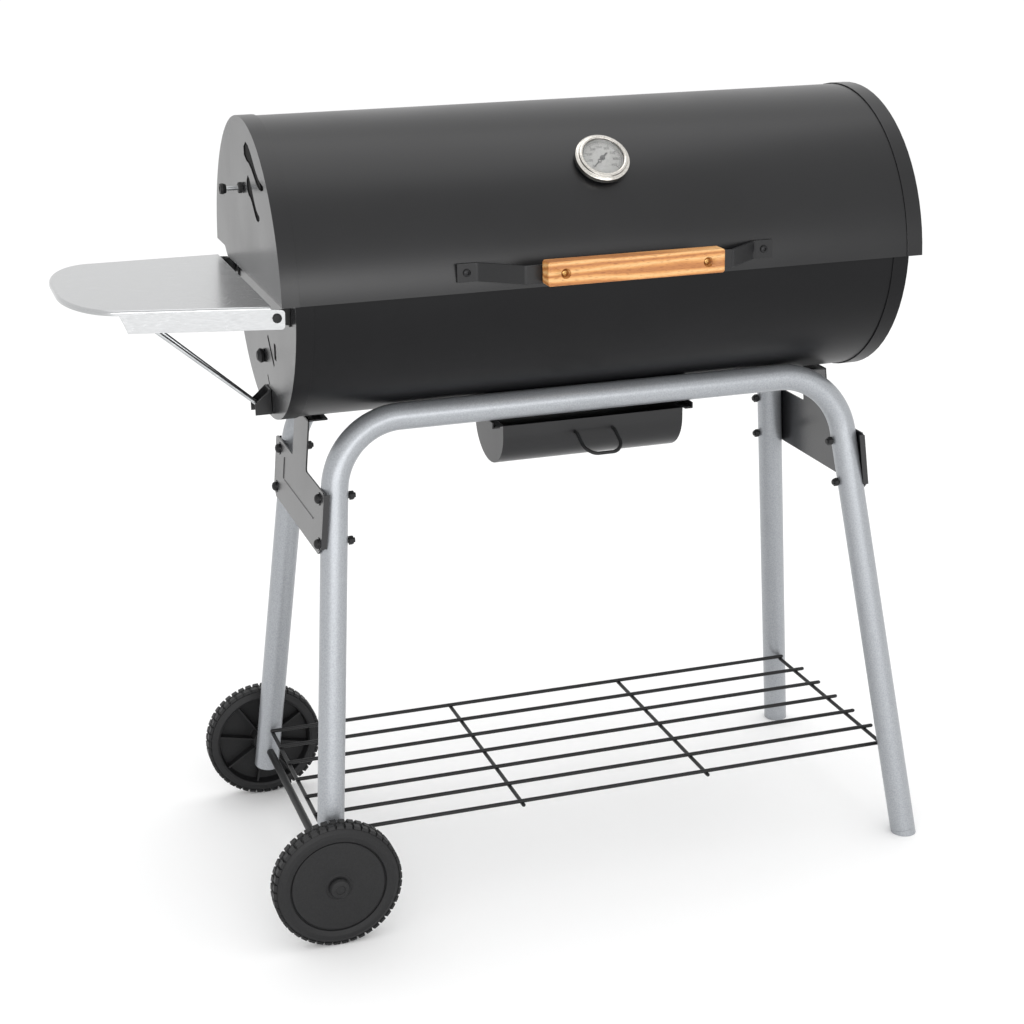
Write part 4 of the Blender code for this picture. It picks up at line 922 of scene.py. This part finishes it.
def build_small_pieces():
    """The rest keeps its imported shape, with broken edges and its finish."""
    for node in ("left_lid_hinge_leaf", "right_lid_hinge_leaf", "left_firebox_hinge_leaf",
                 "right_firebox_hinge_leaf", "front_grate_ledge", "rear_grate_ledge"):
        softened(node, "black_paint", 0.0004)
    for node in ("left_pan_hanger", "right_pan_hanger"):
        softened(node, "black_paint", 0.0003)
    for node in ("front_shelf_bracket", "rear_shelf_bracket", "strut_hook"):
        softened(node, "black_paint", 0.0004)
    for node in ("charcoal_grate", "left_cooking_grate", "right_cooking_grate"):
        softened(node, "black_wire", 0.0012)
    for node in ("left_hinge_pin", "right_hinge_pin", "thermometer_nut"):
        softened(node, "zinc_plate", 0.0003)
    softened("axle", "black_wire", 0.0006)
    # The lid's vent damper is painted near-black as the shade inside the open vent.
    softened("lid_vent_plate", "soot", 0)
    softened("firebox_vent_plate", "zinc_plate", 0.0003)
    build_vent_knob()
    for node in ("firebox_vent_knob", "front_shelf_bolt", "rear_shelf_bolt"):
        softened(node, "black_plastic", 0.0005)


def build_vent_knob():
    """A bright threaded stem through a dark nut, with a small turned knob on its end."""
    near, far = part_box("lid_vent_knob")
    spot = (near.x, (near.y + far.y) / 2, (near.z + far.z) / 2)
    wall = MID_X - LID_HALF - near.x
    end = far.x - near.x
    stem = [(0, 0.004), (0.0026, 0.004), (0.0026, wall + 0.004), (0.006, wall + 0.004), (0.006, end),
            (0, end)]
    put("lid_vent_stem", *turned(stem, spot, (1, 0, 0), 24), "lid_vent", "zinc_wire", ["lid_vent_knob"],
        slot="black_plastic")
    knob = rounded([(0.0058, 0), (0.0064, 0.0030), (0.0050, 0.0070)], 0.001, 4, False)
    hollow = [(0, 0.001), (0.0030, 0.001), (0.0032, 0)]
    knob = np.concatenate([hollow, knob, [(0.0027, 0.0072), (0.0027, 0.004)]])
    put("lid_vent_grip", *turned(knob, spot, (1, 0, 0), 32), "lid_vent", "black_plastic")
    nut = [(0.0027, wall - 0.0050), (0.0058, wall - 0.0050), (0.0064, wall - 0.0036), (0.0064, wall - 0.0004),
           (0.0027, wall - 0.0004)]
    put("lid_vent_nut", *turned(nut, spot, (1, 0, 0), 6, True), "lid_vent", "black_plastic", sharp=20)


# ---- studio ----
def build_studio():
    """A pale floor, an even white sky, a long strip light in front and a soft panel overhead."""
    world = bpy.data.worlds.new("studio")
    world.use_nodes = True
    world.node_tree.nodes["Background"].inputs["Color"].default_value = (1.0, 1.0, 1.0, 1.0)
    world.node_tree.nodes["Background"].inputs["Strength"].default_value = 1.05
    bpy.context.scene.world = world
    bpy.context.scene.view_settings.view_transform = "Standard"
    made, shader = new_material("pale_floor", "#fbfbfb", 0.8)
    mesh = bpy.data.meshes.new("studio_floor")
    size = 9.0
    corners = [(-size, -size, 0), (size, -size, 0), (size, size, 0), (-size, size, 0)]
    mesh.from_pydata(corners, [], [[0, 1, 2, 3]])
    mesh.materials.append(made)
    floor = bpy.data.objects.new("studio_floor", mesh)
    bpy.context.scene.collection.objects.link(floor)
    for name, place, target, wide, tall, power in (
            ("front_strip", (-0.6, -4.2, 1.2), (0, 0, 0.75), 5.0, 1.1, 80.0),
            ("top_panel", (0.2, 0.4, 3.6), (0, 0, 0.5), 3.0, 2.2, 20.0)):
        light = bpy.data.lights.new(name, "AREA")
        light.shape = "RECTANGLE"
        light.size = wide
        light.size_y = tall
        light.energy = power
        lamp = bpy.data.objects.new(name, light)
        lamp.location = place
        lamp.rotation_euler = (Vector(target) - Vector(place)).to_track_quat("-Z", "Y").to_euler()
        lamp.visible_camera = False
        bpy.context.scene.collection.objects.link(lamp)


def build_camera():
    """A 70.2 mm lens on a 36 mm sensor, turned by yaw, pitch and roll."""
    yaw, pitch, roll = 0.3156, -0.3238, -0.0146
    ahead = Vector((math.sin(yaw) * math.cos(pitch), math.cos(yaw) * math.cos(pitch), math.sin(pitch)))
    right = Vector((math.cos(yaw), -math.sin(yaw), 0))
    above = right.cross(ahead)
    turn = Matrix.Rotation(-roll, 3, ahead)
    right, above = turn @ right, turn @ above
    basis = Matrix((right, above, -ahead)).transposed().to_4x4()
    data = bpy.data.cameras.new("studio_camera")
    data.sensor_width = 36.0
    data.lens = 70.193
    camera = bpy.data.objects.new("studio_camera", data)
    camera.matrix_world = Matrix.Translation((MID_X - 0.8118, -2.2642, 1.2350)) @ basis
    bpy.context.scene.collection.objects.link(camera)
    bpy.context.scene.camera = camera


build_barrel()
build_handle()
build_thermometer()
build_stand()
for wheel_side, wheel_word in ((-1, "front"), (1, "rear")):
    build_wheel(wheel_side, wheel_word)
build_side_shelf()
build_strut()
build_ash_pan()
build_small_pieces()
build_studio()
build_camera()
